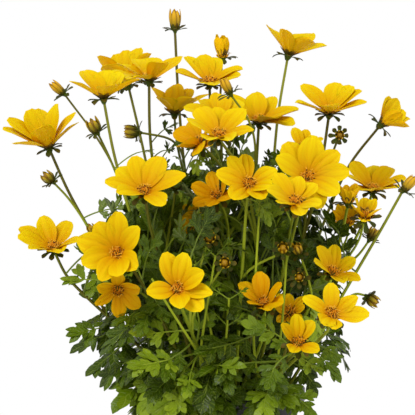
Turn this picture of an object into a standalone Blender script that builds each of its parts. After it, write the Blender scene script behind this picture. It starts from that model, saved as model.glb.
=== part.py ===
"""A potted bidens: a black nursery pot, its soil, leafy stems and yellow blooms, +Z up, in metres."""

import math

import bmesh
import bpy
import numpy as np

MM = 0.001

# pot, in millimetres like every length below
POT_HEIGHT = 92.0
POT_TOP_RADIUS = 51.0
POT_FOOT_RADIUS = 36.0
POT_WALL = 1.6
RIM_HEIGHT = 9.0
RIM_STANDS_OUT = 2.2
POT_SIDES = 20
DRAIN_RADIUS = 4.0
DRAIN_RING = 24.0
DRAINS = 4

# soil
GAP = 0.3
SOIL_TOP = 81.0
SOIL_SIDES = 18
HOLE_FLOOR = 60.0

# stems
MAIN_RADIUS = 1.35
BRANCH_RADIUS = 1.05
TIP_SHARE = 0.75
HOLE_SPACING = 9.5
HOLE_REACH = 38.0
HOLE_PULL = (0.3, 0.34)  # how far towards its head a stem leaves the soil, across and in depth
HOLE_BACK = 3.0
MAIN_STEPS = 7
BRANCH_STEPS = 6
LEAN = 0.34
BOWS = (0.0, 0.1, 0.2, 0.3)
LEAVES_BY = 0.36
ARRIVES_BY = 0.35
ARRIVES_WITHIN = 34.0
CLEAR_OF_STEM = 2.1
BETTER_BY = 0.25
SHORTEST_BRANCH = 22.0
FORKS = (0.55, 0.4, 0.7, 0.25, 0.12)
LOW_FORKS = (0.1, 0.2, 0.3, 0.4)
LOW_BRANCHED = ("d",)  # stems whose buds part from them low down

# calyx and bloom
CALYX_RADIUS = 2.5
CALYX_DEPTH = 4.2
BRACTS = 5
BRACT_LENGTH = 8.0
DISC_RADIUS = 3.7
DISC_HEIGHT = 2.6
PETAL_THICKNESS = 0.75
PETAL_WIDTH = 15.5
PETAL_GAP = 0.45
TIP_BEND = 10.0
HALF_SINK = 1.2  # how deep a half-open bloom is sunk in its calyx

# leaves
LEAF_THICKNESS = 0.7
LEAF_BLADE = 46.0
PETIOLE_HALF_WIDTH = 0.75
PETIOLE_REACH = 42.0
PETIOLE_LEAST = 6.0
KNEE = 0.7
CLEAR_OF_LEAF = 2.2
CLEAR_OF_OWN = 2.4
ROOTS_APART = 3.0
LEAF_COUNT = 60
LEAF_SIZES = (1.0, 0.8)
HANG_TURN = 75.0
# from the petiole to the blunt tip: how far along the blade, and half-width, as shares of its length
LEAF_OUTLINE = (
    (0.0, 0.02),
    (0.2, 0.25),
    (0.31, 0.06),
    (0.52, 0.32),
    (0.64, 0.08),
    (0.84, 0.19),
    (1.0, 0.03),
)
MOUND_CENTER = np.array((-10.0, 0.0, 92.0))
# half-width, half-depth and height of each shell, the share of its height where it starts, tips tried
MOUND_SHELLS = ((96, 92, 94, 0.12, 56), (78, 74, 80, -0.02, 54), (56, 54, 60, -0.22, 48))

# Leaves that draw the outline or hide the pot: x, y, z of the tip, turn and rise of the blade,
# turn and rise of the way it faces
EDGE_LEAVES = (
    (-114, -18, 167, -90, -10, -10, 50),
    (-109, -20, 129, -90, -12, -20, 45),
    (-109, 12, 119, -95, -15, -20, 50),
    (-96, -25, 103, -80, -35, -20, 40),
    (-77, -40, 80, -60, -40, -10, 35),
    (-58, -52, 77, -30, -60, 0, 30),
    (86, -22, 124, 95, -20, 10, 45),
    (84, 15, 112, 100, -25, 20, 50),
    (79, -30, 101, 75, -40, 15, 40),
    (62, -40, 92, 50, -50, 10, 35),
    (62, -57, 77, 60, -35, 10, 40),
    (-68, -85, 110, -85, -8, 0, 50),
    (-20, -86, 102, 60, -45, 0, 40),
    (-23, -80, 113, -85, -5, 0, 55),
    (-25, -88, 87, -70, -40, 0, 45),
    (-39, -80, 76, -20, -80, 0, 20),
    (16, -82, 105, -10, -70, 0, 30),
    (36, -80, 91, 50, -50, 5, 35),
    (24, -84, 76, 20, -75, 0, 25),
    (44, -72, 84, 60, -40, 10, 35),
)

YELLOW = (0.86, 0.52, 0.004)
GREEN = (0.075, 0.13, 0.012)
BLACK = (0.012, 0.012, 0.013)
EARTH = (0.045, 0.028, 0.017)

# One row a flower head, sorted by the stem it grows on; the first row of a stem ends its main stalk.
# stem, kind, x, y, z of its seat, turn from the front, rise above level, spread of the petals
# from its axis, petals, petal length. Angles in degrees.
HEADS = (
    ("a", "bloom", -122, 20, 255, -50, 70, 50, 9, 28.1),
    ("a", "bud", -119, 8, 232, -60, 40, 0, 5, 9.0),
    ("b", "bloom", -117, -25, 188, -10, 58, 60, 7, 23.1),
    ("b", "bud", -90, 5, 197, -60, 50, 0, 5, 7.0),
    ("c", "bloom", -83, -30, 290, -40, 84, 52, 6, 25.1),
    ("c", "bud", -88, -5, 266, -60, 60, 0, 5, 10.0),
    ("d", "bloom", -69, 76, 297, -100, 74, 52, 7, 26.4),
    ("d", "bud", -113, 50, 291, -70, 40, 0, 5, 11.0),
    ("e", "bloom", -53, 10, 301, 60, 82, 54, 7, 26.2),
    ("f", "bud", -36, 80, 335, 0, 88, 0, 5, 13.5),
    ("f", "bloom", -36, 34, 278, 0, 84, 52, 6, 23.4),
    ("f", "bud", -60, -10, 266, -90, 5, 0, 5, 10.0),
    ("g", "bloom", -12, 58, 298, -10, 74, 58, 7, 24.1),
    ("g", "half", -3, 92, 316, 10, 86, 14, 4, 15.0),
    ("h", "bloom", -6, -60, 265, 0, 54, 66, 7, 23.6),
    ("h", "bloom", -18, -24, 259, -60, 40, 54, 6, 20.2),
    ("i", "bloom", -4, -2, 274, 0, 66, 56, 6, 23.6),
    ("i", "bud", 2, -36, 293, -60, 60, 0, 5, 11.0),
    ("j", "bloom", 22, 28, 272, 10, 72, 62, 7, 25.4),
    ("k", "bloom", 43, 60, 318, 90, 72, 52, 6, 26.1),
    ("k", "bloom", 20, 60, 196, 150, 30, 46, 6, 17.0),
    ("l", "bloom", 69, -5, 279, 5, 74, 64, 7, 24.8),
    ("l", "bloom", 51, -16, 254, -10, 55, 46, 5, 14.9),
    ("l", "bud", 76, -12, 264, 0, 5, 0, 6, 7.0),
    ("m", "bloom", 107, 45, 270, 90, 42, 28, 6, 20.2),
    ("n", "bloom", 53, -50, 237, 5, 30, 72, 8, 24.8),
    ("n", "bloom", 44, -88, 222, 0, 52, 66, 7, 21.6),
    ("o", "bloom", 100, 26, 225, 10, 68, 62, 7, 23.1),
    ("o", "bloom", 92, -40, 210, 10, 52, 40, 6, 14.7),
    ("o", "bud", 97, 0, 193, 90, 60, 0, 5, 9.0),
    ("p", "bud", 119, -16, 227, 70, 50, 0, 5, 12.0),
    ("p", "bud", 95, -16, 155, 60, -30, 0, 5, 9.0),
    ("q", "half", 82, -8, 219, 10, 80, 36, 4, 13.0),
    ("q", "half", 83, 14, 203, -30, 50, 52, 4, 13.0),
    ("r", "bloom", 70, -52, 173, 20, 50, 56, 6, 18.6),
    ("r", "bud", 48, -40, 186, -30, 50, 0, 5, 8.0),
    ("s", "bloom", 68, -98, 149, 5, 36, 66, 6, 19.9),
    ("t", "bloom", 46, -82, 129, 5, 40, 54, 5, 16.1),
    ("t", "half", 42, -34, 146, 0, 30, 56, 4, 12.0),
    ("u", "bloom", 24, -55, 153, -10, 46, 52, 6, 19.4),
    ("u", "bud", 48, -45, 170, 0, 10, 0, 5, 7.0),
    ("v", "bloom", -6, -38, 224, -25, 36, 54, 6, 17.6),
    ("v", "half", -18, -20, 205, -60, 20, 46, 4, 15.0),
    ("w", "bloom", 14, -70, 233, 5, 34, 68, 7, 20.9),
    ("w", "bud", 37, -50, 189, 0, 20, 0, 5, 8.0),
    ("x", "bloom", -55, -68, 228, 0, 50, 68, 7, 25.0),
    ("x", "bud", -35, -35, 229, 10, 70, 0, 5, 8.0),
    ("y", "bloom", -72, -84, 189, -10, 12, 70, 8, 23.8),
    ("y", "bloom", -73, -50, 164, 5, -30, 54, 6, 17.0),
    ("z", "bloom", -33, -100, 166, 0, 26, 64, 7, 21.9),
    ("z", "bud", -12, -62, 198, 0, 5, 0, 5, 9.0),
    ("z", "bud", -2, -66, 181, 0, 10, 0, 5, 8.0),
)

# Blooms whose petals can be told apart, one entry a petal: turn round the axis, spread from it
# and length. Turns run from the bloom's level side, anticlockwise seen from its front.
PETALS = {
    "bloom_01": ((32, 63, 25.4), (63, 54, 27.6), (95, 35, 28.9), (147, 37, 27.7), (170, 33, 28.8),
                 (213, 41, 32.2), (231, 51, 31.7), (262, 64, 25.3), (318, 45, 25.8)),
    "bloom_02": ((67, 71, 21.8), (116, 61, 23.1), (166, 59, 23.9), (191, 59, 23.0), (242, 58, 23.2),
                 (295, 60, 23.2), (336, 57, 23.2)),
    "bloom_03": ((24, 66, 25.1), (99, 58, 24.9), (127, 55, 25.1), (164, 50, 25.5), (247, 61, 25.1),
                 (327, 66, 24.8)),
    "bloom_04": ((25, 80, 24.7), (72, 53, 25.4), (141, 37, 26.9), (178, 33, 27.7), (202, 35, 27.4),
                 (318, 35, 27.6), (341, 53, 25.2)),
    "bloom_05": ((27, 61, 25.9), (50, 65, 25.7), (86, 76, 25.4), (144, 88, 26.8), (184, 88, 26.5),
                 (230, 57, 26.1), (332, 51, 26.7)),
    "bloom_06": ((60, 56, 23.1), (91, 49, 23.7), (140, 50, 23.5), (243, 56, 23.2), (305, 60, 23.1),
                 (358, 58, 23.8)),
    "bloom_07": ((16, 67, 22.7), (88, 61, 24.0), (112, 58, 24.2), (141, 55, 24.7), (216, 61, 24.3),
                 (284, 77, 24.3), (334, 72, 24.4)),
    "bloom_08": ((50, 70, 23.5), (89, 82, 22.9), (124, 70, 23.5), (189, 51, 23.3), (250, 58, 24.2),
                 (291, 59, 24.1), (342, 64, 24.0)),
    "bloom_09": ((-2, 81, 20.6), (26, 64, 20.3), (142, 67, 19.3), (181, 55, 20.3), (301, 44, 20.7),
                 (331, 75, 20.3)),
    "bloom_10": ((59, 81, 22.6), (90, 71, 23.1), (120, 80, 22.7), (194, 66, 24.9), (248, 71, 24.4),
                 (286, 71, 24.3)),
    "bloom_11": ((62, 68, 24.7), (89, 63, 25.2), (132, 60, 25.5), (223, 73, 25.2), (282, 66, 25.2),
                 (316, 81, 25.7), (346, 67, 25.9)),
    "bloom_12": ((4, 62, 25.8), (57, 58, 26.0), (157, 55, 26.2), (208, 59, 25.9), (293, 60, 25.9),
                 (337, 49, 26.7)),
    "bloom_14": ((21, 58, 24.9), (45, 58, 24.9), (68, 57, 24.9), (138, 54, 25.8), (202, 68, 24.2),
                 (261, 61, 24.4), (344, 68, 24.4)),
    "bloom_15": ((86, 66, 13.5), (116, 53, 14.4), (240, 43, 15.6), (315, 62, 15.3), (355, 52, 15.6)),
    "bloom_16": ((17, 27, 21.3), (44, 35, 20.4), (185, 43, 19.7), (224, 52, 19.2), (308, 36, 20.2),
                 (335, 33, 20.4)),
    "bloom_17": ((0, 73, 25.5), (36, 73, 24.6), (80, 68, 26.5), (121, 73, 24.6), (157, 61, 22.8),
                 (235, 53, 24.4), (287, 75, 25.3), (319, 68, 24.6)),
    "bloom_18": ((50, 88, 20.3), (84, 81, 20.8), (127, 67, 21.9), (191, 48, 21.5), (241, 51, 22.2),
                 (285, 67, 22.2), (315, 62, 22.1)),
    "bloom_19": ((52, 66, 22.8), (76, 71, 22.6), (123, 58, 23.7), (203, 53, 23.3), (239, 66, 23.2),
                 (302, 64, 23.1), (331, 57, 23.0)),
    "bloom_20": ((52, 60, 12.5), (80, 70, 12.7), (168, 23, 15.9), (204, 36, 15.9), (251, 57, 15.4),
                 (310, 32, 16.0)),
    "bloom_21": ((23, 73, 17.1), (78, 62, 18.3), (119, 57, 17.9), (188, 47, 19.4), (268, 61, 19.4),
                 (304, 63, 19.5)),
    "bloom_22": ((29, 69, 18.1), (91, 70, 19.2), (153, 66, 20.0), (239, 47, 20.1), (267, 52, 20.0),
                 (348, 74, 22.0)),
    "bloom_23": ((47, 56, 15.7), (90, 54, 16.4), (147, 42, 15.6), (243, 52, 16.4), (313, 62, 16.6)),
    "bloom_24": ((15, 36, 19.0), (100, 52, 19.3), (153, 52, 19.3), (243, 40, 19.7), (291, 51, 19.4),
                 (325, 55, 19.5)),
    "bloom_25": ((23, 34, 18.4), (120, 72, 15.7), (181, 49, 16.6), (234, 56, 18.4), (277, 49, 18.4),
                 (331, 57, 18.4)),
    "bloom_26": ((31, 79, 18.8), (97, 83, 19.8), (131, 70, 20.5), (171, 65, 21.6), (230, 60, 21.9),
                 (290, 52, 21.8), (320, 42, 21.7)),
    "bloom_27": ((11, 70, 26.5), (63, 69, 24.9), (108, 70, 24.8), (134, 79, 23.6), (179, 67, 24.9),
                 (223, 57, 24.8), (302, 69, 25.2)),
    "bloom_28": ((41, 56, 23.6), (89, 69, 24.6), (126, 66, 22.4), (165, 70, 25.0), (196, 63, 23.0),
                 (244, 55, 23.5), (290, 40, 24.2), (327, 48, 24.1)),
    "bloom_30": ((21, 50, 20.6), (75, 66, 21.3), (111, 66, 22.7), (196, 57, 21.6), (278, 49, 21.9),
                 (315, 69, 22.6), (345, 66, 22.4)),
}


def aim(turn, rise):
    """The unit vector that faces `turn` degrees right of the front and `rise` degrees above level."""
    turn, rise = math.radians(turn), math.radians(rise)
    return np.array((math.sin(turn) * math.cos(rise), -math.cos(turn) * math.cos(rise), math.sin(rise)))


def unit(vector):
    return vector / np.linalg.norm(vector)


def sideways(axis):
    """Two unit vectors square to the axis and to each other."""
    first = np.cross((0.0, 0.0, 1.0), axis)
    first = unit(first) if np.linalg.norm(first) > 0.05 else np.array((1.0, 0.0, 0.0))
    first = unit(first - axis * np.dot(first, axis))
    return first, np.cross(axis, first)


class Shape:
    """A closed mesh in millimetres: a list of corners and faces that index them."""

    def __init__(self):
        self.points, self.faces = [], []

    def add(self, *points):
        start = len(self.points)
        self.points.extend(np.asarray(point, float) for point in points)
        return list(range(start, len(self.points)))

    def bridge(self, first, second):
        """Quads between two loops of equal count."""
        count = len(first)
        for i in range(count):
            j = (i + 1) % count
            self.faces.append((first[i], first[j], second[j], second[i]))

    def samples(self, step=3.0):
        """Points spread over the surface, no further apart than about `step`."""
        found = []
        for face in self.faces:
            corners = np.array([self.points[i] for i in face])
            for k in range(1, len(face) - 1):
                a, b, c = corners[0], corners[k], corners[k + 1]
                size = max(np.linalg.norm(b - a), np.linalg.norm(c - a), np.linalg.norm(c - b))
                cuts = max(1, math.ceil(size / step))
                share = np.array([(p, q) for p in range(cuts + 1) for q in range(cuts + 1 - p)]) / cuts
                found.append(a + share[:, :1] * (b - a) + share[:, 1:] * (c - a))
        return np.unique(np.round(np.concatenate(found), 1), axis=0)


def ring(center, across, up, radius, count, offset=0.0):
    angles = offset + np.arange(count) * 2 * math.pi / count
    return [center + radius * (math.cos(a) * across + math.sin(a) * up) for a in angles]


def even_turns(count):
    return (np.arange(count) + 0.5) * 360 / count


def whorl(seat, axis, levels, wall, blades, turns=None):
    """A hub with one side a blade, whose wall between two levels grows a blade from each side.

    levels: (height, radius) from bottom to top, where a radius of 0 is a point. wall: the index of
    the level under the blades. blades: for each side, its stations (run, rise, half-width, sag,
    thickness), where a half-width of 0 ends it in a point. turns: the blades' degrees round the
    axis, rising; the hub's corners lie midway between them.
    """
    shape, count = Shape(), len(blades)
    across, up = sideways(axis)
    turns = even_turns(count) if turns is None else turns
    corners = turns - 0.5 * ((turns - np.roll(turns, 1)) % 360)

    def level(height, radius):
        center = seat + height * axis
        if not radius:
            return [center]
        return [center + radius * (math.cos(a) * across + math.sin(a) * up) for a in np.radians(corners)]

    loops = [shape.add(*level(height, radius)) for height, radius in levels]
    for number, (low, high) in enumerate(zip(loops, loops[1:])):
        if len(high) == 1:
            shape.faces.extend((low[i], low[(i + 1) % count], high[0]) for i in range(count))
        elif number != wall:
            shape.bridge(low, high)
    shape.faces.append(tuple(reversed(loops[0])))
    if len(loops[-1]) > 1:
        shape.faces.append(tuple(loops[-1]))
    low, high = loops[wall], loops[wall + 1]
    for i, (stations, angle) in enumerate(zip(blades, np.radians(turns))):
        j = (i + 1) % count
        outward = math.cos(angle) * across + math.sin(angle) * up
        over = math.cos(angle) * up - math.sin(angle) * across
        root = (high[i], high[j], low[j], low[i])
        foot = sum(shape.points[k] for k in root) / 4
        grow_blade(shape, foot, outward, axis, over, stations, root)
    return shape


def grow_blade(shape, foot, outward, axis, over, stations, root):
    """One blade from its root quad."""
    left, right, low_right, low_left = root
    tops, bottoms = [left, right], [low_left, low_right]
    before = np.zeros(2)
    for run, rise, half, sag, thick in stations:
        center = foot + run * outward + rise * axis
        lie = unit(np.array((run, rise)) - before)
        before = np.array((run, rise))
        normal = lie[0] * axis - lie[1] * outward
        if half == 0:
            tip = shape.add(center)[0]
            round_root = (*tops, *bottoms[::-1])
            shape.faces.extend((round_root[k], round_root[(k + 1) % 4], tip) for k in range(4))
            return
        edge = [center - half * over, center - sag * normal, center + half * over]
        new_tops = shape.add(*(point + 0.5 * thick * normal for point in edge))
        new_bottoms = shape.add(*(point - 0.5 * thick * normal for point in edge))
        for old, new, turn in ((tops, new_tops, 1), (bottoms, new_bottoms, -1)):
            if len(old) == 2:
                made = [(old[0], new[1], new[0]), (old[0], old[1], new[1]), (old[1], new[2], new[1])]
            else:
                made = [(old[0], old[1], new[1], new[0]), (old[1], old[2], new[2], new[1])]
            shape.faces.extend(face[::turn] for face in made)
        shape.faces.append((tops[0], new_tops[0], new_bottoms[0], bottoms[0]))
        shape.faces.append((tops[-1], bottoms[-1], new_bottoms[-1], new_tops[-1]))
        tops, bottoms = new_tops, new_bottoms
    shape.faces.append((tops[0], tops[1], bottoms[1], bottoms[0]))
    shape.faces.append((tops[1], tops[2], bottoms[2], bottoms[1]))


def petal_rows(head):
    """Turn, spread and length of each petal: those of the table, or else even ones."""
    if head.bloom in PETALS:
        return PETALS[head.bloom]
    n = np.arange(head.count)
    spreads = head.spread + 4.0 * np.sin(2.4 * n + head.count)
    return list(zip(even_turns(head.count), spreads, head.length * (1.0 + 0.05 * np.sin(1.7 * n))))


def petals(rows):
    """Stations of each petal, which stands `spread` degrees from the axis and bends out at the tip.

    Each keeps to its own side of the line midway to the next one.
    """
    turns = np.array([row[0] for row in rows], float)
    gaps = (np.roll(turns, -1) - turns) % 360
    wedges = np.radians(0.5 * np.minimum(gaps, np.roll(gaps, 1)))
    blades = []
    for (_, spread, length), wedge in zip(rows, wedges):
        inner, outer = math.radians(spread - 3), math.radians(spread + TIP_BEND)
        wide, tip = 0.6 * length, 0.38 * length
        run, rise = wide * math.sin(inner), wide * math.cos(inner)
        room = (DISC_RADIUS + run) * math.tan(wedge) - PETAL_GAP
        half = min(0.5 * PETAL_WIDTH, room)
        far_run, far_rise = run + tip * math.sin(outer), rise + tip * math.cos(outer)
        blades.append(
            (
                (run, rise, half, 0.9, PETAL_THICKNESS),
                (far_run, far_rise, 0.58 * half, -0.3, PETAL_THICKNESS),
            )
        )
    return turns, blades


def bloom_shape(head, sink):
    """Disc with a domed top and its petals; set `sink` mm lower, it fuses with the calyx."""
    base = GAP - sink
    levels = (
        (base, DISC_RADIUS),
        (base + 1.0, DISC_RADIUS),
        (base + 0.75 * DISC_HEIGHT, 0.7 * DISC_RADIUS),
        (base + DISC_HEIGHT, 0.0),
    )
    turns, blades = petals(petal_rows(head))
    return whorl(head.seat, head.axis, levels, 0, blades, turns)


def bract(degrees, length):
    angle = math.radians(degrees)
    return ((length * math.sin(angle), length * math.cos(angle), 0, 0, 0),)


def calyx_shape(seat, axis, spread):
    """Green cup under the petals with spreading outer bracts."""
    levels = (
        (-CALYX_DEPTH, 1.5),
        (-1.0, CALYX_RADIUS),
        (0.0, CALYX_RADIUS),
    )
    droop = max(98.0, spread + 32.0)
    blades = [bract(droop + 9 * math.sin(2.1 * i), BRACT_LENGTH) for i in range(BRACTS)]
    return whorl(seat, axis, levels, 1, blades)


def bud_shape(seat, axis, count, length):
    """Egg of closed petals over a whorl of narrow bracts."""
    levels = (
        (-1.5, 1.2),
        (0.0, 0.2 * length),
        (1.0, 0.24 * length),
        (0.5 * length, 0.34 * length),
        (0.82 * length, 0.26 * length),
        (length, 0.0),
    )
    blades = [bract(88 + 12 * math.sin(1.9 * i), 0.55 * length + 1.5) for i in range(count)]
    return whorl(seat, axis, levels, 1, blades)


def bezier(a, b, c, d, count):
    t = np.linspace(0, 1, count)[:, None]
    return (1 - t) ** 3 * a + 3 * (1 - t) ** 2 * t * b + 3 * (1 - t) * t**2 * c + t**3 * d


def tube(path, first_radius, last_radius, sides):
    """A stalk along the path, its first ring square to +X so that it lines up with its hole."""
    shape = Shape()
    radii = np.linspace(first_radius, last_radius, len(path))
    across, loops = np.array((1.0, 0.0, 0.0)), []
    for i, point in enumerate(path):
        along = unit(path[min(i + 1, len(path) - 1)] - path[max(i - 1, 0)])
        across = unit(across - along * np.dot(across, along))
        offset = math.pi / sides
        loops.append(shape.add(*ring(point, across, np.cross(along, across), radii[i], sides, offset)))
    for first, second in zip(loops, loops[1:]):
        shape.bridge(first, second)
    shape.faces.append(tuple(reversed(loops[0])))
    shape.faces.append(tuple(loops[-1]))
    return shape


def leaf_shape(root, tip, hang, outward, blade):
    """A thin blade with lobes cut nearly to its rib; its petiole runs out and bends into the hang."""
    shape = Shape()
    knee = tip - KNEE * blade * hang
    t = np.linspace(0, 1, 25)[:, None]
    curve = (1 - t) ** 2 * root + 2 * t * (1 - t) * knee + t**2 * tip
    runs = np.concatenate([[0], np.cumsum(np.linalg.norm(np.diff(curve, axis=0), axis=1))])
    blade = min(blade, 0.85 * runs[-1])
    stations = [(0.0, PETIOLE_HALF_WIDTH)]
    stations += [(runs[-1] - (1 - share) * blade, max(0.8, half * blade)) for share, half in LEAF_OUTLINE]
    loops = []
    for run, half in stations:
        point = np.array([np.interp(run, runs, curve[:, k]) for k in range(3)])
        ahead = np.array([np.interp(run + 1, runs, curve[:, k]) for k in range(3)])
        behind = np.array([np.interp(run - 1, runs, curve[:, k]) for k in range(3)])
        along = unit(ahead - behind)
        normal = unit(outward - along * np.dot(outward, along))
        over = np.cross(along, normal)
        lift = 0.5 * LEAF_THICKNESS * normal
        corners = (point - half * over, point + half * over)
        loops.append(shape.add(corners[0] + lift, corners[1] + lift, corners[1] - lift, corners[0] - lift))
    for first, second in zip(loops, loops[1:]):
        # the two faces of the blade are split along the same diagonal
        shape.faces.extend([(first[0], first[1], second[1]), (first[0], second[1], second[0])])
        shape.faces.extend([(first[2], first[3], second[2]), (first[3], second[3], second[2])])
        shape.faces.append((first[1], first[2], second[2], second[1]))
        shape.faces.append((first[3], first[0], second[0], second[3]))
    shape.faces.append(tuple(reversed(loops[0])))
    shape.faces.append(tuple(loops[-1]))
    return shape


def distances(points, others):
    """For each of the others, how far it lies from the nearest of the points."""
    squared = (points**2).sum(1)[:, None] + (others**2).sum(1) - 2 * points @ others.T
    return np.sqrt(np.maximum(0.0, squared.min(axis=0)))


class Crowd:
    """Surface points of everything placed so far, with the owner of each."""

    def __init__(self):
        self.points, self.owners, self.fat = np.zeros((0, 3)), np.zeros(0, int), np.zeros(0)
        self.names = []

    def add(self, owner, points, fat=0.0):
        """Adds an owner's points; `fat` is how far its surface lies outside them."""
        if owner not in self.names:
            self.names.append(owner)
        self.points = np.concatenate([self.points, points])
        self.owners = np.concatenate([self.owners, np.full(len(points), self.names.index(owner))])
        self.fat = np.concatenate([self.fat, np.full(len(points), fat)])

    def room(self, points, spared, reach=12.0):
        """How near the points come to anything that the spared owners don't hold, up to `reach`."""
        low, high = points.min(axis=0) - reach, points.max(axis=0) + reach
        near = np.all((self.points > low) & (self.points < high), axis=1)
        for name in spared:
            if name in self.names:
                near &= self.owners != self.names.index(name)
        if not near.any():
            return reach
        return min(reach, (distances(points, self.points[near]) - self.fat[near]).min())

    def own_room(self, points, owner, root):
        """How near a leaf comes to the rest of its own stem, away from its root."""
        own = self.points[self.owners == self.names.index(owner)]
        own = own[np.linalg.norm(own - root, axis=1) > 6.0]
        far = points[np.linalg.norm(points - root, axis=1) > 3.5]
        return distances(far, own).min() if len(own) else math.inf


class Head:
    """A flower head of the table: its seat, the way it faces, and the nodes that it belongs to."""

    def __init__(self, row, bloom):
        self.stem, self.kind = row[:2]
        self.seat, self.axis = np.array(row[2:5], float), aim(*row[5:7])
        self.spread, self.count, self.length = row[7:]
        self.node, self.bloom = "leafy_stem_" + self.stem, bloom


def spread_holes(wanted):
    """Stem holes near their wanted places, pushed apart until they are HOLE_SPACING apart."""
    holes = wanted.copy()
    for _ in range(300):
        apart = holes[:, None] - holes[None]
        distance = np.linalg.norm(apart, axis=2) + np.eye(len(holes)) * 1000
        push = np.clip(HOLE_SPACING - distance, 0, None)[..., None] * apart / distance[..., None]
        holes += 0.3 * push.sum(axis=1)
        radius = np.linalg.norm(holes, axis=1, keepdims=True)
        holes *= np.minimum(1, HOLE_REACH / np.maximum(radius, 0.001))
    return holes


def thin_out(path, count):
    """The path again as `count` points at equal steps."""
    steps = np.concatenate([[0], np.cumsum(np.linalg.norm(np.diff(path, axis=0), axis=1))])
    marks = np.linspace(0, steps[-1], count)
    return np.stack([np.interp(marks, steps, path[:, k]) for k in range(3)], axis=1)


def route(start, leave, head, crowd, radius, count):
    """The clearest of several curves of `count` points from `start` to just under a head's seat."""
    end = head.seat - 1.5 * head.axis
    reach = np.linalg.norm(end - start)
    first, second = sideways(unit(end - start))
    fall = min(ARRIVES_BY * reach, ARRIVES_WITHIN)
    best = (-1.0, None)
    for bow in BOWS:
        for turn in range(8 if bow else 1):
            angle = turn * math.pi / 4
            side = bow * reach * (math.cos(angle) * first + math.sin(angle) * second)
            early = start + LEAVES_BY * reach * leave + side
            late = end - fall * head.axis + 0.6 * side
            path = thin_out(bezier(start, early, late, end, 40), count)
            line = thin_out(path, max(12, int(reach / 2)))
            room = crowd.room(line[2:-3], [head.node, head.bloom]) - radius
            if room > best[0] + BETTER_BY:
                best = (room, path)
            if room > 2.0 * CLEAR_OF_STEM:
                return best
    return best


def main_path(head, x, y, crowd):
    """The main stalk's path from the soil, leaning out towards its head as it leaves."""
    crown = np.array((x, y, SOIL_TOP + 1.0))
    outward = np.array((head.seat[0] - x, head.seat[1] - y, 0.0))
    leave = unit(np.array((0, 0, 1.0)) + LEAN * outward / max(40.0, np.linalg.norm(outward)))
    return route(crown, leave, head, crowd, MAIN_RADIUS, MAIN_STEPS)[1]


def branch_path(head, stalk, crowd):
    """The clearest branch from the main stalk to a head, tried from several forks."""
    best = (-1.0, None)
    for share in LOW_FORKS if head.kind == "bud" and head.stem in LOW_BRANCHED else FORKS:
        k = int(share * (len(stalk) - 1))
        start, leave = stalk[k], unit(stalk[k + 1] - stalk[k])
        if np.linalg.norm(head.seat - start) < SHORTEST_BRANCH or start[2] > head.seat[2] + 15:
            continue
        found = route(start, leave, head, crowd, BRANCH_RADIUS, BRANCH_STEPS)
        if found[0] > best[0] + BETTER_BY:
            best = found
        if found[0] > 1.5 * CLEAR_OF_STEM:
            break
    return best[1]


def place_heads(nodes, crowd):
    """Adds every head's calyx, bloom or bud to its node. Returns the heads of each stem."""
    stems, blooms = {}, 0
    for row in HEADS:
        blooms += row[1] == "bloom"
        head = Head(row, f"bloom_{blooms:02d}" if row[1] == "bloom" else None)
        stems.setdefault(head.stem, []).append(head)
        own = nodes.setdefault(head.node, [])
        if head.kind == "bud":
            own.append(bud_shape(head.seat, head.axis, head.count, head.length))
        else:
            own.append(calyx_shape(head.seat, head.axis, head.spread))
        crowd.add(head.node, own[-1].samples())
        if head.kind == "bloom":
            nodes[head.bloom] = [bloom_shape(head, 0.0)]
            crowd.add(head.bloom, nodes[head.bloom][0].samples())
        elif head.kind == "half":
            own.append(bloom_shape(head, HALF_SINK))
            crowd.add(head.node, own[-1].samples())
    return stems


def grow_stalks(stems, holes, nodes, crowd):
    """Adds every stalk to its node. Returns each node's stalks as finely spaced points."""
    stalks = {}
    for (main, *branches), (x, y) in zip(stems.values(), holes):
        path = main_path(main, x, y, crowd)
        rooted = np.concatenate([[(x, y, HOLE_FLOOR + GAP)], path])
        nodes[main.node].append(tube(rooted, MAIN_RADIUS, TIP_SHARE * MAIN_RADIUS, 3))
        crowd.add(main.node, thin_out(rooted, 90), MAIN_RADIUS)
        stalks[main.node] = [thin_out(path, 50)]
        for head in branches:
            branch = branch_path(head, thin_out(path, 60), crowd)
            nodes[head.node].append(tube(branch, BRANCH_RADIUS, TIP_SHARE * BRANCH_RADIUS, 3))
            crowd.add(head.node, thin_out(branch, 90), BRANCH_RADIUS)
            stalks[head.node].append(thin_out(branch, 50))
    return stalks


def lay_out():
    """Every node's shapes by the node's name, and the stem holes in the soil."""
    crowd, nodes = Crowd(), {}
    rim = ring(np.array((0.0, 0.0, POT_HEIGHT)), np.array((1.0, 0, 0)), np.array((0, 1.0, 0)),
               POT_TOP_RADIUS + RIM_STANDS_OUT, 72)
    pot_wall = [point - np.array((0, 0, drop)) for point in rim for drop in (0.0, 3.0, 6.0, 9.0)]
    crowd.add("pot", np.array(pot_wall))
    stems = place_heads(nodes, crowd)
    wanted = [HOLE_PULL * own[0].seat[:2] + (0, HOLE_BACK) for own in stems.values()]
    holes = spread_holes(np.array(wanted))
    stalks = grow_stalks(stems, holes, nodes, crowd)
    grow_leaves(nodes, stalks, crowd)
    return nodes, holes


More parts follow.
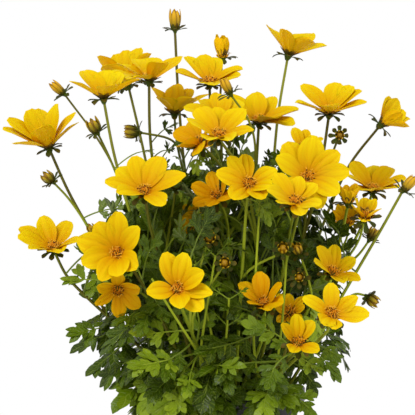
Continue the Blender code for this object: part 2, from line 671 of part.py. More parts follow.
def leaf_places():
    """Leaf tips, the way each blade hangs and the way it faces, on the shells of the mound.

    A golden-angle spiral spreads them over each half-ellipsoid. A blade hangs down the slope,
    turned to one side by up to HANG_TURN.
    """
    golden = math.pi * (3 - math.sqrt(5))
    for shell, (across, deep, tall, low, count) in enumerate(MOUND_SHELLS):
        for i in range(count):
            high = low + (0.97 - low) * (i + 0.5) / count
            flat = math.sqrt(max(0.0, 1 - high * high))
            angle = golden * i + shell
            on_ball = np.array((flat * math.cos(angle), flat * math.sin(angle), high))
            size = np.array((across, deep, tall))
            normal = unit(on_ball / size)
            down = unit(np.array((0.3 * on_ball[0], 0.3 * on_ball[1], -1.0)))
            down = unit(down - normal * np.dot(down, normal))
            turn = math.radians(HANG_TURN) * math.sin(2.4 * i + shell)
            lift = 0.45 + 0.45 * math.sin(1.3 * i + 2 * shell)
            hang = unit(math.cos(turn) * down + math.sin(turn) * np.cross(normal, down) + lift * normal)
            yield MOUND_CENTER + size * on_ball, hang, normal


def grow_leaves(nodes, stalks, crowd):
    """Adds leaves to the nodes, those of the outline first, until there are LEAF_COUNT."""
    made = 0
    edge = [(np.array(row[:3], float), aim(*row[3:5]), aim(*row[5:])) for row in EDGE_LEAVES]
    for tip, hang, normal in edge + list(leaf_places()):
        if made == LEAF_COUNT:
            break
        leaf, node, root = best_leaf(tip, hang, normal, stalks, crowd)
        if leaf:
            nodes[node].append(leaf)
            crowd.add(node, leaf.samples())
            stalks[node] = [run[np.linalg.norm(run - root, axis=1) > ROOTS_APART] for run in stalks[node]]
            made += 1


def best_leaf(tip, hang, normal, stalks, crowd):
    """The first leaf to that tip, from the nearest stalks, that keeps off everything else."""
    knee = tip - KNEE * LEAF_BLADE * hang
    choices = []
    for node, runs in stalks.items():
        points = np.concatenate(runs)
        distance = np.linalg.norm(points - knee, axis=1)
        fit = (distance > PETIOLE_LEAST) & (distance < PETIOLE_REACH) & (points[:, 2] > SOIL_TOP + 4)
        # the petiole runs outwards, not far down, and doesn't double back
        fit &= ((knee - points) @ normal > -6) & (points[:, 2] < knee[2] + 16)
        fit &= (knee - points) @ hang > -0.3 * distance
        for k in np.flatnonzero(fit)[np.argsort(distance[fit])][:20:7]:
            choices.append((distance[k], node, points[k]))
    choices.sort(key=lambda choice: choice[0])
    for size in LEAF_SIZES:
        for _, node, root in choices[:8]:
            leaf = leaf_shape(root, tip, hang, normal + np.array((0, 0, 0.25)), size * LEAF_BLADE)
            points = leaf.samples()
            if crowd.room(points, [node]) < CLEAR_OF_LEAF:
                continue
            if crowd.own_room(points, node, root) > CLEAR_OF_OWN:
                return leaf, node, root
    return None, None, None


def material(name, colour, roughness):
    made = bpy.data.materials.new(name)
    made.use_nodes = True
    principled = made.node_tree.nodes["Principled BSDF"]
    principled.inputs["Base Color"].default_value = (*colour, 1.0)
    principled.inputs["Roughness"].default_value = roughness
    principled.inputs["Metallic"].default_value = 0.0
    return made


def mesh_object(name, shape, look):
    mesh = bpy.data.meshes.new(name)
    mesh.from_pydata([tuple(point * MM) for point in shape.points], [], shape.faces)
    body = bmesh.new()
    body.from_mesh(mesh)
    bmesh.ops.recalc_face_normals(body, faces=body.faces)
    body.to_mesh(mesh)
    body.free()
    mesh.materials.append(look)
    made = bpy.data.objects.new(name, mesh)
    bpy.context.scene.collection.objects.link(made)
    return made


def fuse(name, shapes, look):
    """One object: the first shape with all the others joined to it by a Boolean union."""
    base = mesh_object(name, shapes[0], look)
    if len(shapes) > 1:
        group = bpy.data.collections.new(name + "_pieces")
        bpy.context.scene.collection.children.link(group)
        for i, shape in enumerate(shapes[1:]):
            piece = mesh_object(f"{name}_piece_{i}", shape, look)
            bpy.context.scene.collection.objects.unlink(piece)
            group.objects.link(piece)
        apply_boolean(base, group, "UNION")
        drop_scraps(base)
    return base


def drop_scraps(base):
    """Keeps the largest body, without the specks that fusing can leave on one of its edges."""
    body = bmesh.new()
    body.from_mesh(base.data)
    seen, groups = set(), []
    for start in body.faces:
        if start in seen:
            continue
        group, waiting = [], [start]
        seen.add(start)
        while waiting:
            face = waiting.pop()
            group.append(face)
            joins = [edge for edge in face.edges if len(edge.link_faces) == 2]
            for other in (near for edge in joins for near in edge.link_faces):
                if other not in seen:
                    seen.add(other)
                    waiting.append(other)
        groups.append(group)
    largest = max(groups, key=len)
    scraps = [face for group in groups if group is not largest for face in group]
    if scraps:
        bmesh.ops.delete(body, geom=scraps, context="FACES")
        body.to_mesh(base.data)
    body.free()


def apply_boolean(base, group, operation):
    """Joins or cuts with every object of the collection, applies that and removes the collection."""
    step = base.modifiers.new("joined", "BOOLEAN")
    step.operation, step.operand_type, step.collection = operation, "COLLECTION", group
    step.solver = "EXACT"
    bpy.context.view_layer.objects.active = base
    bpy.ops.object.modifier_apply(modifier=step.name)
    for piece in list(group.objects):
        bpy.data.objects.remove(piece)
    bpy.data.collections.remove(group)


def turned(profile, sides):
    """A closed solid turned about Z from (radius, height) points; a radius of 0 closes it."""
    shape, loops = Shape(), []
    x, y = np.array((1.0, 0, 0)), np.array((0, 1.0, 0))
    for radius, height in profile:
        center = np.array((0, 0, float(height)))
        loops.append(shape.add(*(ring(center, x, y, radius, sides) if radius else [center])))
    for low, high in zip(loops, loops[1:]):
        for i in range(sides):
            j = (i + 1) % sides
            if len(low) == 1:
                shape.faces.append((low[0], high[j], high[i]))
            elif len(high) == 1:
                shape.faces.append((low[i], low[j], high[0]))
            else:
                shape.faces.append((low[i], low[j], high[j], high[i]))
    return shape


def prism(x, y, low, high, radius, sides):
    path = np.array(((x, y, low), (x, y, high)), float)
    return tube(path, radius, radius, sides)


def group_of(name, shapes, look):
    group = bpy.data.collections.new(name)
    bpy.context.scene.collection.children.link(group)
    for i, shape in enumerate(shapes):
        cutter = mesh_object(f"{name}_{i}", shape, look)
        cutter.hide_render, cutter.display_type = True, "WIRE"
        bpy.context.scene.collection.objects.unlink(cutter)
        group.objects.link(cutter)
    return group


def shade(body):
    body.data.shade_smooth()
    body.data.set_sharp_from_angle(angle=math.radians(35))


def build_pot():
    look = material("black_plastic", BLACK, 0.5)
    rim_low = POT_HEIGHT - RIM_HEIGHT
    under_rim = POT_FOOT_RADIUS + (POT_TOP_RADIUS - POT_FOOT_RADIUS) * rim_low / POT_HEIGHT
    profile = (
        (0, 0),
        (POT_FOOT_RADIUS, 0),
        (under_rim, rim_low),
        (POT_TOP_RADIUS + RIM_STANDS_OUT, rim_low),
        (POT_TOP_RADIUS + RIM_STANDS_OUT, POT_HEIGHT),
        (POT_TOP_RADIUS + RIM_STANDS_OUT - POT_WALL, POT_HEIGHT),
        (under_rim - POT_WALL, rim_low - POT_WALL),
        (POT_FOOT_RADIUS - POT_WALL, POT_WALL),
        (0, POT_WALL),
    )
    pot = mesh_object("pot", turned(profile, POT_SIDES), look)
    drains = []
    for i in range(DRAINS):
        angle = (i + 0.5) * 2 * math.pi / DRAINS
        x, y = DRAIN_RING * math.cos(angle), DRAIN_RING * math.sin(angle)
        drains.append(prism(x, y, -1, POT_WALL + 1, DRAIN_RADIUS, 8))
    apply_boolean(pot, group_of("drains", drains, look), "DIFFERENCE")
    shade(pot)
    return pot


def build_soil(holes):
    look = material("soil", EARTH, 0.95)
    rim_low = POT_HEIGHT - RIM_HEIGHT
    slope = (POT_TOP_RADIUS - POT_FOOT_RADIUS) / POT_HEIGHT
    shrink = (POT_WALL + GAP) * 1.15
    profile = (
        (0, POT_WALL + GAP),
        (POT_FOOT_RADIUS - shrink, POT_WALL + GAP),
        (POT_FOOT_RADIUS + slope * (rim_low - POT_WALL) - shrink - 0.6, SOIL_TOP - 1.5),
        (0.9 * POT_FOOT_RADIUS + slope * rim_low, SOIL_TOP),
        (0, SOIL_TOP),
    )
    soil = mesh_object("soil", turned(profile, SOIL_SIDES), look)
    wide = MAIN_RADIUS + 2 * GAP
    wells = [prism(x, y, HOLE_FLOOR, SOIL_TOP + 5, wide, 3) for x, y in holes]
    apply_boolean(soil, group_of("wells", wells, look), "DIFFERENCE")
    return soil


def build():
    for old in list(bpy.data.objects):
        bpy.data.objects.remove(old)
    leaf_green = material("leaf_green", GREEN, 0.5)
    petal_yellow = material("petal_yellow", YELLOW, 0.45)
    nodes, holes = lay_out()
    build_pot()
    build_soil(holes)
    for name, shapes in sorted(nodes.items()):
        if name.startswith("bloom"):
            mesh_object(name, shapes[0], petal_yellow)
        else:
            fuse(name, shapes[::-1], leaf_green)


build()
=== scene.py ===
# A potted bidens: golden blooms and buds on leafy stems in a black nursery pot

import math

import bpy
import numpy as np
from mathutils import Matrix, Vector


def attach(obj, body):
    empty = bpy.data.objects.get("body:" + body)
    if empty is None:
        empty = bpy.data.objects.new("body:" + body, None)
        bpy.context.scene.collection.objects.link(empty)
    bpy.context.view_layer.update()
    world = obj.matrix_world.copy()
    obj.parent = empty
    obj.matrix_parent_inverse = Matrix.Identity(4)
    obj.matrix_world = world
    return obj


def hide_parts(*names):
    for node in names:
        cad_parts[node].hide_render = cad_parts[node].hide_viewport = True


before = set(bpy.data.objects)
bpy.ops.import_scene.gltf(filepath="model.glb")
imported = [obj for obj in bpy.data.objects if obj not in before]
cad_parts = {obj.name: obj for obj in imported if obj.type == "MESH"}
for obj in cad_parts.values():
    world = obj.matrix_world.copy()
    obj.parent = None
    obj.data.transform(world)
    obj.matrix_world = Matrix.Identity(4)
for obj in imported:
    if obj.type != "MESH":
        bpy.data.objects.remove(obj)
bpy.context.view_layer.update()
print("frame loaded")

mm = 0.001  # lengths are in millimetres until makeMesh turns them to metres; only the stage's are in metres
seed = 7

# The frame was built from these three tables too, so a change here no longer fits it
# stem, kind, x, y, z of the seat, turn from the front, rise above level, spread of the petals, petals, length
heads = (
    ("a", "bloom", -122, 20, 255, -50, 70, 50, 9, 28.1),
    ("a", "bud", -119, 8, 232, -60, 40, 0, 5, 9.0),
    ("b", "bloom", -117, -25, 188, -10, 58, 60, 7, 23.1),
    ("b", "bud", -90, 5, 197, -60, 50, 0, 5, 7.0),
    ("c", "bloom", -83, -30, 290, -40, 84, 52, 6, 25.1),
    ("c", "bud", -88, -5, 266, -60, 60, 0, 5, 10.0),
    ("d", "bloom", -69, 76, 297, -100, 74, 52, 7, 26.4),
    ("d", "bud", -113, 50, 291, -70, 40, 0, 5, 11.0),
    ("e", "bloom", -53, 10, 301, 60, 82, 54, 7, 26.2),
    ("f", "bud", -36, 80, 335, 0, 88, 0, 5, 13.5),
    ("f", "bloom", -36, 34, 278, 0, 84, 52, 6, 23.4),
    ("f", "bud", -60, -10, 266, -90, 5, 0, 5, 10.0),
    ("g", "bloom", -12, 58, 298, -10, 74, 58, 7, 24.1),
    ("g", "half", -3, 92, 316, 10, 86, 14, 4, 15.0),
    ("h", "bloom", -6, -60, 265, 0, 54, 66, 7, 23.6),
    ("h", "bloom", -18, -24, 259, -60, 40, 54, 6, 20.2),
    ("i", "bloom", -4, -2, 274, 0, 66, 56, 6, 23.6),
    ("i", "bud", 2, -36, 293, -60, 60, 0, 5, 11.0),
    ("j", "bloom", 22, 28, 272, 10, 72, 62, 7, 25.4),
    ("k", "bloom", 43, 60, 318, 90, 72, 52, 6, 26.1),
    ("k", "bloom", 20, 60, 196, 150, 30, 46, 6, 17.0),
    ("l", "bloom", 69, -5, 279, 5, 74, 64, 7, 24.8),
    ("l", "bloom", 51, -16, 254, -10, 55, 46, 5, 14.9),
    ("l", "bud", 76, -12, 264, 0, 5, 0, 6, 7.0),
    ("m", "bloom", 107, 45, 270, 90, 42, 28, 6, 20.2),
    ("n", "bloom", 53, -50, 237, 5, 30, 72, 8, 24.8),
    ("n", "bloom", 44, -88, 222, 0, 52, 66, 7, 21.6),
    ("o", "bloom", 100, 26, 225, 10, 68, 62, 7, 23.1),
    ("o", "bloom", 92, -40, 210, 10, 52, 40, 6, 14.7),
    ("o", "bud", 97, 0, 193, 90, 60, 0, 5, 9.0),
    ("p", "bud", 119, -16, 227, 70, 50, 0, 5, 12.0),
    ("p", "bud", 95, -16, 155, 60, -30, 0, 5, 9.0),
    ("q", "half", 82, -8, 219, 10, 80, 36, 4, 13.0),
    ("q", "half", 83, 14, 203, -30, 50, 52, 4, 13.0),
    ("r", "bloom", 70, -52, 173, 20, 50, 56, 6, 18.6),
    ("r", "bud", 48, -40, 186, -30, 50, 0, 5, 8.0),
    ("s", "bloom", 68, -98, 149, 5, 36, 66, 6, 19.9),
    ("t", "bloom", 46, -82, 129, 5, 40, 54, 5, 16.1),
    ("t", "half", 42, -34, 146, 0, 30, 56, 4, 12.0),
    ("u", "bloom", 24, -55, 153, -10, 46, 52, 6, 19.4),
    ("u", "bud", 48, -45, 170, 0, 10, 0, 5, 7.0),
    ("v", "bloom", -6, -38, 224, -25, 36, 54, 6, 17.6),
    ("v", "half", -18, -20, 205, -60, 20, 46, 4, 15.0),
    ("w", "bloom", 14, -70, 233, 5, 34, 68, 7, 20.9),
    ("w", "bud", 37, -50, 189, 0, 20, 0, 5, 8.0),
    ("x", "bloom", -55, -68, 228, 0, 50, 68, 7, 25.0),
    ("x", "bud", -35, -35, 229, 10, 70, 0, 5, 8.0),
    ("y", "bloom", -72, -84, 189, -10, 12, 70, 8, 23.8),
    ("y", "bloom", -73, -50, 164, 5, -30, 54, 6, 17.0),
    ("z", "bloom", -33, -100, 166, 0, 26, 64, 7, 21.9),
    ("z", "bud", -12, -62, 198, 0, 5, 0, 5, 9.0),
    ("z", "bud", -2, -66, 181, 0, 10, 0, 5, 8.0),
)

# turn round the axis, spread from it and length of each petal, where a bloom's can be told apart
petalRows = {
    "bloom_01": ((32, 63, 25.4), (63, 54, 27.6), (95, 35, 28.9), (147, 37, 27.7), (170, 33, 28.8),
                 (213, 41, 32.2), (231, 51, 31.7), (262, 64, 25.3), (318, 45, 25.8)),
    "bloom_02": ((67, 71, 21.8), (116, 61, 23.1), (166, 59, 23.9), (191, 59, 23.0), (242, 58, 23.2),
                 (295, 60, 23.2), (336, 57, 23.2)),
    "bloom_03": ((24, 66, 25.1), (99, 58, 24.9), (127, 55, 25.1), (164, 50, 25.5), (247, 61, 25.1),
                 (327, 66, 24.8)),
    "bloom_04": ((25, 80, 24.7), (72, 53, 25.4), (141, 37, 26.9), (178, 33, 27.7), (202, 35, 27.4),
                 (318, 35, 27.6), (341, 53, 25.2)),
    "bloom_05": ((27, 61, 25.9), (50, 65, 25.7), (86, 76, 25.4), (144, 88, 26.8), (184, 88, 26.5),
                 (230, 57, 26.1), (332, 51, 26.7)),
    "bloom_06": ((60, 56, 23.1), (91, 49, 23.7), (140, 50, 23.5), (243, 56, 23.2), (305, 60, 23.1),
                 (358, 58, 23.8)),
    "bloom_07": ((16, 67, 22.7), (88, 61, 24.0), (112, 58, 24.2), (141, 55, 24.7), (216, 61, 24.3),
                 (284, 77, 24.3), (334, 72, 24.4)),
    "bloom_08": ((50, 70, 23.5), (89, 82, 22.9), (124, 70, 23.5), (189, 51, 23.3), (250, 58, 24.2),
                 (291, 59, 24.1), (342, 64, 24.0)),
    "bloom_09": ((-2, 81, 20.6), (26, 64, 20.3), (142, 67, 19.3), (181, 55, 20.3), (301, 44, 20.7),
                 (331, 75, 20.3)),
    "bloom_10": ((59, 81, 22.6), (90, 71, 23.1), (120, 80, 22.7), (194, 66, 24.9), (248, 71, 24.4),
                 (286, 71, 24.3)),
    "bloom_11": ((62, 68, 24.7), (89, 63, 25.2), (132, 60, 25.5), (223, 73, 25.2), (282, 66, 25.2),
                 (316, 81, 25.7), (346, 67, 25.9)),
    "bloom_12": ((4, 62, 25.8), (57, 58, 26.0), (157, 55, 26.2), (208, 59, 25.9), (293, 60, 25.9),
                 (337, 49, 26.7)),
    "bloom_14": ((21, 58, 24.9), (45, 58, 24.9), (68, 57, 24.9), (138, 54, 25.8), (202, 68, 24.2),
                 (261, 61, 24.4), (344, 68, 24.4)),
    "bloom_15": ((86, 66, 13.5), (116, 53, 14.4), (240, 43, 15.6), (315, 62, 15.3), (355, 52, 15.6)),
    "bloom_16": ((17, 27, 21.3), (44, 35, 20.4), (185, 43, 19.7), (224, 52, 19.2), (308, 36, 20.2),
                 (335, 33, 20.4)),
    "bloom_17": ((0, 73, 25.5), (36, 73, 24.6), (80, 68, 26.5), (121, 73, 24.6), (157, 61, 22.8),
                 (235, 53, 24.4), (287, 75, 25.3), (319, 68, 24.6)),
    "bloom_18": ((50, 88, 20.3), (84, 81, 20.8), (127, 67, 21.9), (191, 48, 21.5), (241, 51, 22.2),
                 (285, 67, 22.2), (315, 62, 22.1)),
    "bloom_19": ((52, 66, 22.8), (76, 71, 22.6), (123, 58, 23.7), (203, 53, 23.3), (239, 66, 23.2),
                 (302, 64, 23.1), (331, 57, 23.0)),
    "bloom_20": ((52, 60, 12.5), (80, 70, 12.7), (168, 23, 15.9), (204, 36, 15.9), (251, 57, 15.4),
                 (310, 32, 16.0)),
    "bloom_21": ((23, 73, 17.1), (78, 62, 18.3), (119, 57, 17.9), (188, 47, 19.4), (268, 61, 19.4),
                 (304, 63, 19.5)),
    "bloom_22": ((29, 69, 18.1), (91, 70, 19.2), (153, 66, 20.0), (239, 47, 20.1), (267, 52, 20.0),
                 (348, 74, 22.0)),
    "bloom_23": ((47, 56, 15.7), (90, 54, 16.4), (147, 42, 15.6), (243, 52, 16.4), (313, 62, 16.6)),
    "bloom_24": ((15, 36, 19.0), (100, 52, 19.3), (153, 52, 19.3), (243, 40, 19.7), (291, 51, 19.4),
                 (325, 55, 19.5)),
    "bloom_25": ((23, 34, 18.4), (120, 72, 15.7), (181, 49, 16.6), (234, 56, 18.4), (277, 49, 18.4),
                 (331, 57, 18.4)),
    "bloom_26": ((31, 79, 18.8), (97, 83, 19.8), (131, 70, 20.5), (171, 65, 21.6), (230, 60, 21.9),
                 (290, 52, 21.8), (320, 42, 21.7)),
    "bloom_27": ((11, 70, 26.5), (63, 69, 24.9), (108, 70, 24.8), (134, 79, 23.6), (179, 67, 24.9),
                 (223, 57, 24.8), (302, 69, 25.2)),
    "bloom_28": ((41, 56, 23.6), (89, 69, 24.6), (126, 66, 22.4), (165, 70, 25.0), (196, 63, 23.0),
                 (244, 55, 23.5), (290, 40, 24.2), (327, 48, 24.1)),
    "bloom_30": ((21, 50, 20.6), (75, 66, 21.3), (111, 66, 22.7), (196, 57, 21.6), (278, 49, 21.9),
                 (315, 69, 22.6), (345, 66, 22.4)),
}

# x, y, z of the tip, turn and rise of the blade, turn and rise of the way it faces
edgeLeaves = (
    (-114, -18, 167, -90, -10, -10, 50),
    (-109, -20, 129, -90, -12, -20, 45),
    (-109, 12, 119, -95, -15, -20, 50),
    (-96, -25, 103, -80, -35, -20, 40),
    (-77, -40, 80, -60, -40, -10, 35),
    (-58, -52, 77, -30, -60, 0, 30),
    (86, -22, 124, 95, -20, 10, 45),
    (84, 15, 112, 100, -25, 20, 50),
    (79, -30, 101, 75, -40, 15, 40),
    (62, -40, 92, 50, -50, 10, 35),
    (62, -57, 77, 60, -35, 10, 40),
    (-68, -85, 110, -85, -8, 0, 50),
    (-20, -86, 102, 60, -45, 0, 40),
    (-23, -80, 113, -85, -5, 0, 55),
    (-25, -88, 87, -70, -40, 0, 45),
    (-39, -80, 76, -20, -80, 0, 20),
    (16, -82, 105, -10, -70, 0, 30),
    (36, -80, 91, 50, -50, 5, 35),
    (24, -84, 76, 20, -75, 0, 25),
    (44, -72, 84, 60, -40, 10, 35),
)


def aim(turn, rise):
    # the unit vector turn degrees right of the front and rise degrees above level
    turn, rise = math.radians(turn), math.radians(rise)
    return np.array((math.sin(turn) * math.cos(rise), -math.cos(turn) * math.cos(rise), math.sin(rise)))


def unit(vectors):
    # each vector over its own length
    return vectors / np.linalg.norm(vectors, axis=-1, keepdims=True)


def squareTo(axis):
    # two unit vectors square to the axis and to each other
    first = np.cross((0.0, 0.0, 1.0), axis)
    first = unit(first) if np.linalg.norm(first) > 0.05 else np.array((1.0, 0.0, 0.0))
    first = unit(first - axis * np.dot(first, axis))
    return first, np.cross(axis, first)


def bezier(a, b, c, d, count):
    # the cubic from a to d that leaves towards b and arrives from c
    t = np.linspace(0, 1, count)[:, None]
    return (1 - t) ** 3 * a + 3 * (1 - t) ** 2 * t * b + 3 * (1 - t) * t**2 * c + t**3 * d


def lengthsAlong(path):
    # how far along the path each of its points lies
    return np.concatenate([[0], np.cumsum(np.linalg.norm(np.diff(path, axis=0), axis=1))])


def pathAt(path, lengths, wanted):
    # the points of a path at the wanted lengths along it
    return np.stack([np.interp(wanted, lengths, path[:, k]) for k in range(3)], axis=-1)


def evenly(path, count):
    # the same path with its points at even steps
    lengths = lengthsAlong(path)
    return pathAt(path, lengths, np.linspace(0, lengths[-1], count))


def lookUp(rows, x):
    # the value at x in rows of (x, value), straight between them
    return np.interp(x, *np.array(rows).T)


def smoothPath(path, count):
    # a Catmull-Rom curve through the points: each span is the cubic whose end slopes are half the chord
    # of the two neighbours
    padded = np.concatenate([[2 * path[0] - path[1]], path, [2 * path[-1] - path[-2]]])
    t = np.linspace(0, 1, 9)[:-1, None, None]
    p0, p1, p2, p3 = padded[:-3], padded[1:-2], padded[2:-1], padded[3:]
    spans = 0.5 * (2 * p1 + (p2 - p0) * t + (2 * p0 - 5 * p1 + 4 * p2 - p3) * t**2
                   + (3 * p1 - p0 - 3 * p2 + p3) * t**3)
    curve = np.concatenate([spans.transpose(1, 0, 2).reshape(-1, 3), path[-1:]])
    return evenly(curve, count)


# Grids become closed skins. A part is its points, its quads, its triangles and four marks a point:
# how far along, how far across, a tint from 0 to 1, and 1 on an underside

def skin(rings, marks):
    # a closed skin over rings of equal count, with a fan over each end; rings run anticlockwise seen
    # from the end that they lead to
    rows, count = rings.shape[:2]
    index = np.arange(rows * count).reshape(rows, count)
    after = np.roll(index, -1, axis=1)
    quads = np.stack([index[:-1], after[:-1], after[1:], index[1:]], axis=-1).reshape(-1, 4)
    fan = np.stack([np.zeros(count - 2, int), np.arange(1, count - 1), np.arange(2, count)], axis=-1)
    tris = np.concatenate([index[0][fan[:, ::-1]], index[-1][fan]])
    return rings.reshape(-1, 3), quads, tris, marks.reshape(-1, 4)


def tube(path, radii, sides, tint, ridges=0.0, start=None):
    # a stalk: rings square to the path, carried along it without a twist, whose radius at each angle is
    # swelled by ridges times the cosine of four times the angle
    along = unit(np.gradient(path, axis=0))
    across = np.empty_like(path)
    side = squareTo(along[0])[0] if start is None else start
    for i, way in enumerate(along):
        side = unit(side - way * np.dot(side, way))
        across[i] = side
    angles = np.arange(sides) * 2 * np.pi / sides
    swell = 1 + ridges * np.cos(4 * angles)
    radii = np.broadcast_to(radii, len(path))[:, None, None]
    ring = (np.cos(angles)[:, None] * across[:, None]
            + np.sin(angles)[:, None] * np.cross(along, across)[:, None])
    rings = path[:, None] + radii * swell[:, None] * ring
    marks = np.zeros(rings.shape[:2] + (4,))
    marks[..., 0] = lengthsAlong(path)[:, None]
    marks[..., 1] = np.cos(4 * angles)
    marks[..., 2] = tint
    return skin(rings, marks)


def blade(center, normal, thick, marks):
    # a thin sheet: the grid pushed out along its normals by half its thickness on both faces, which
    # meet along the two long margins; along x across gives the normal
    rows, cols = center.shape[:2]
    lift = 0.5 * thick[..., None] * normal
    under = marks.copy()
    under[..., 3] = 1
    rings = np.concatenate([center + lift, (center - lift)[:, -2:0:-1]], axis=1)
    marks = np.concatenate([marks, under[:, -2:0:-1]], axis=1)
    count = 2 * cols - 2
    index = np.arange(rows * count).reshape(rows, count)
    after = np.roll(index, -1, axis=1)
    quads = [np.stack([index[:-1], index[1:], after[1:], after[:-1]], axis=-1).reshape(-1, 4)]
    tris = []
    below = (count - np.arange(cols)) % count
    for row, turn in ((index[0], 1), (index[-1], -1)):
        top, low = row[:cols], row[below]
        caps = np.stack([top[1:-2], top[2:-1], low[2:-1], low[1:-2]], axis=-1)
        ends = np.array([[top[0], top[1], low[1]], [top[-2], top[-1], low[-2]]])
        quads.append(caps[:, ::turn])
        tris.append(ends[:, ::turn])
    return rings.reshape(-1, 3), np.concatenate(quads), np.concatenate(tris), marks.reshape(-1, 4)


def makeMesh(name, parts, material, slot, replaced=()):
    # one piece from its parts, shaded smooth but for margins sharper than 50 degrees
    starts = np.cumsum([0] + [len(part[0]) for part in parts])
    points = np.concatenate([part[0] for part in parts]) * mm
    quads = np.concatenate([part[1] + start for part, start in zip(parts, starts)])
    tris = np.concatenate([part[2] + start for part, start in zip(parts, starts)])
    corners = np.concatenate([quads.ravel(), tris.ravel()])
    sizes = np.repeat((4, 3), (len(quads), len(tris)))
    mesh = bpy.data.meshes.new(name)
    mesh.vertices.add(len(points))
    mesh.vertices.foreach_set("co", points.astype(np.float32).ravel())
    mesh.loops.add(len(corners))
    mesh.loops.foreach_set("vertex_index", corners.astype(np.int32))
    mesh.polygons.add(len(sizes))
    mesh.polygons.foreach_set("loop_start", (np.cumsum(sizes) - sizes).astype(np.int32))
    mesh.update(calc_edges=True)
    marks = mesh.attributes.new("marks", "FLOAT_COLOR", "POINT")
    values = np.concatenate([part[3] for part in parts]).astype(np.float32)
    marks.data.foreach_set("color", values.ravel())
    mesh.shade_smooth()
    mesh.set_sharp_from_angle(angle=math.radians(50))
    mesh.materials.append(material)
    piece = bpy.data.objects.new(name, mesh)
    bpy.context.scene.collection.objects.link(piece)
    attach(piece, "root")
    if replaced:
        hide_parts(*replaced)
    return piece


# Materials

def linear(hexColour):
    # sRGB hex to linear light
    values = [int(hexColour[i:i + 2], 16) / 255 for i in (1, 3, 5)]
    return tuple(v / 12.92 if v <= 0.04045 else ((v + 0.055) / 1.055) ** 2.4 for v in values) + (1.0,)


def addNode(tree, kind, inputs=(), out=0, stops=(), **settings):
    # one shader node: inputs are values, hex colours or the sockets they link to, in order or by name,
    # and stops are a ramp's places and colours. Gives back the output asked for
    node = tree.nodes.new("ShaderNode" + kind)
    for name, value in settings.items():
        setattr(node, name, value)
    for i, (place, colour) in enumerate(stops):
        stop = node.color_ramp.elements[i] if i < 2 else node.color_ramp.elements.new(place)
        stop.position, stop.color = place, linear(colour)
    for key, value in inputs.items() if isinstance(inputs, dict) else enumerate(inputs):
        if isinstance(value, bpy.types.NodeSocket):
            tree.links.new(value, node.inputs[key])
        else:
            node.inputs[key].default_value = linear(value) if isinstance(value, str) else value
    return node.outputs[out] if node.outputs else node


def startMaterial(name):
    # an empty material, and the sockets along, across, tint, under and place that its patterns read
    material = bpy.data.materials.new(name)
    material.use_nodes = True
    tree = material.node_tree
    tree.nodes.clear()
    marks = tree.nodes.new("ShaderNodeAttribute")
    marks.attribute_name = "marks"
    split = tree.nodes.new("ShaderNodeSeparateColor")
    tree.links.new(marks.outputs["Color"], split.inputs[0])
    place = addNode(tree, "TexCoord", out="Object")
    return material, tree, *split.outputs, marks.outputs["Alpha"], place


def endMaterial(material, colour, height, depth, look):
    # the shader over a bump of the given height and depth in mm; look holds its plain values
    tree = material.node_tree
    normal = addNode(tree, "Bump", {"Height": height, "Distance": depth * mm})
    shader = addNode(tree, "BsdfPrincipled", {"Base Color": colour, "Normal": normal, **look})
    addNode(tree, "OutputMaterial", (shader,))
    return material


petalLook = {"Roughness": 0.6, "Specular IOR Level": 0.06, "Subsurface Weight": 0.5,
             "Subsurface Scale": 0.2 * mm, "Subsurface Radius": (1.6, 1.45, 0.15)}


def petalMaterial():
    # fresh ray petal: velvety and thin enough to glow with the light behind it; the eye sees lemon
    # tips that turn golden towards the claw, fine veins along it, painted shade in its two grooves, and a
    # warmer gold beneath, painted brighter to stand for light shining through
    material, tree, along, across, tint, under, place = startMaterial("bidensPetal")
    bright = addNode(tree, "ValToRGB", (along,),
                     stops=((0.0, "#C27C00"), (0.2, "#D49E00"), (0.55, "#DCBA00"), (0.95, "#E6D006")))
    deep = addNode(tree, "ValToRGB", (along,),
                   stops=((0.0, "#B06A00"), (0.3, "#D09400"), (1.0, "#DEA800")))
    colour = addNode(tree, "Mix", {0: tint, 6: bright, 7: deep}, 2, data_type="RGBA")
    # painted shade: darker gold along two lengthwise grooves, where the folds of the blade fall in shade
    side = addNode(tree, "Math", (across,), operation="ABSOLUTE")
    near = addNode(tree, "Math", (side, -0.36), operation="ADD")
    near = addNode(tree, "Math", (near, near), operation="MULTIPLY")
    creaseShade = addNode(tree, "Math", (near, -40.0, 1.0), operation="MULTIPLY_ADD", use_clamp=True)
    # veins 2 mm apart, drawn coarser than real ones, which would not show
    wander = addNode(tree, "TexNoise", {"Vector": place, "Scale": 1 / (8 * mm)})
    wander = addNode(tree, "Math", (wander, 3.0), operation="MULTIPLY")
    wave = addNode(tree, "Math", (across, 26.0, wander), operation="MULTIPLY_ADD")
    wave = addNode(tree, "Math", (wave,), operation="SINE")
    vein = addNode(tree, "Math", (wave, 0.5, 0.5), operation="MULTIPLY_ADD")
    creaseShade = addNode(tree, "Math", (creaseShade, 0.14), operation="MULTIPLY")
    veinAndCreaseShade = addNode(tree, "Math", (vein, 0.08, creaseShade), operation="MULTIPLY_ADD")
    # the veins' own darker gold and the painted shade in the grooves, mixed towards deep gold
    colour = addNode(tree, "Mix", {0: veinAndCreaseShade, 6: colour, 7: "#D08A00"}, 2, data_type="RGBA")
    # painted light: the underside's warmer gold is painted brighter than the top, standing in for light
    # shining through the thin petal
    back = addNode(tree, "Math", (under, 0.85), operation="MULTIPLY")
    colour = addNode(tree, "Mix", {0: back, 6: colour, 7: "#FCC60A"}, 2, data_type="RGBA")
    return endMaterial(material, colour, vein, 0.02, petalLook)


budLook = {"Roughness": 0.5, "Specular IOR Level": 0.3}


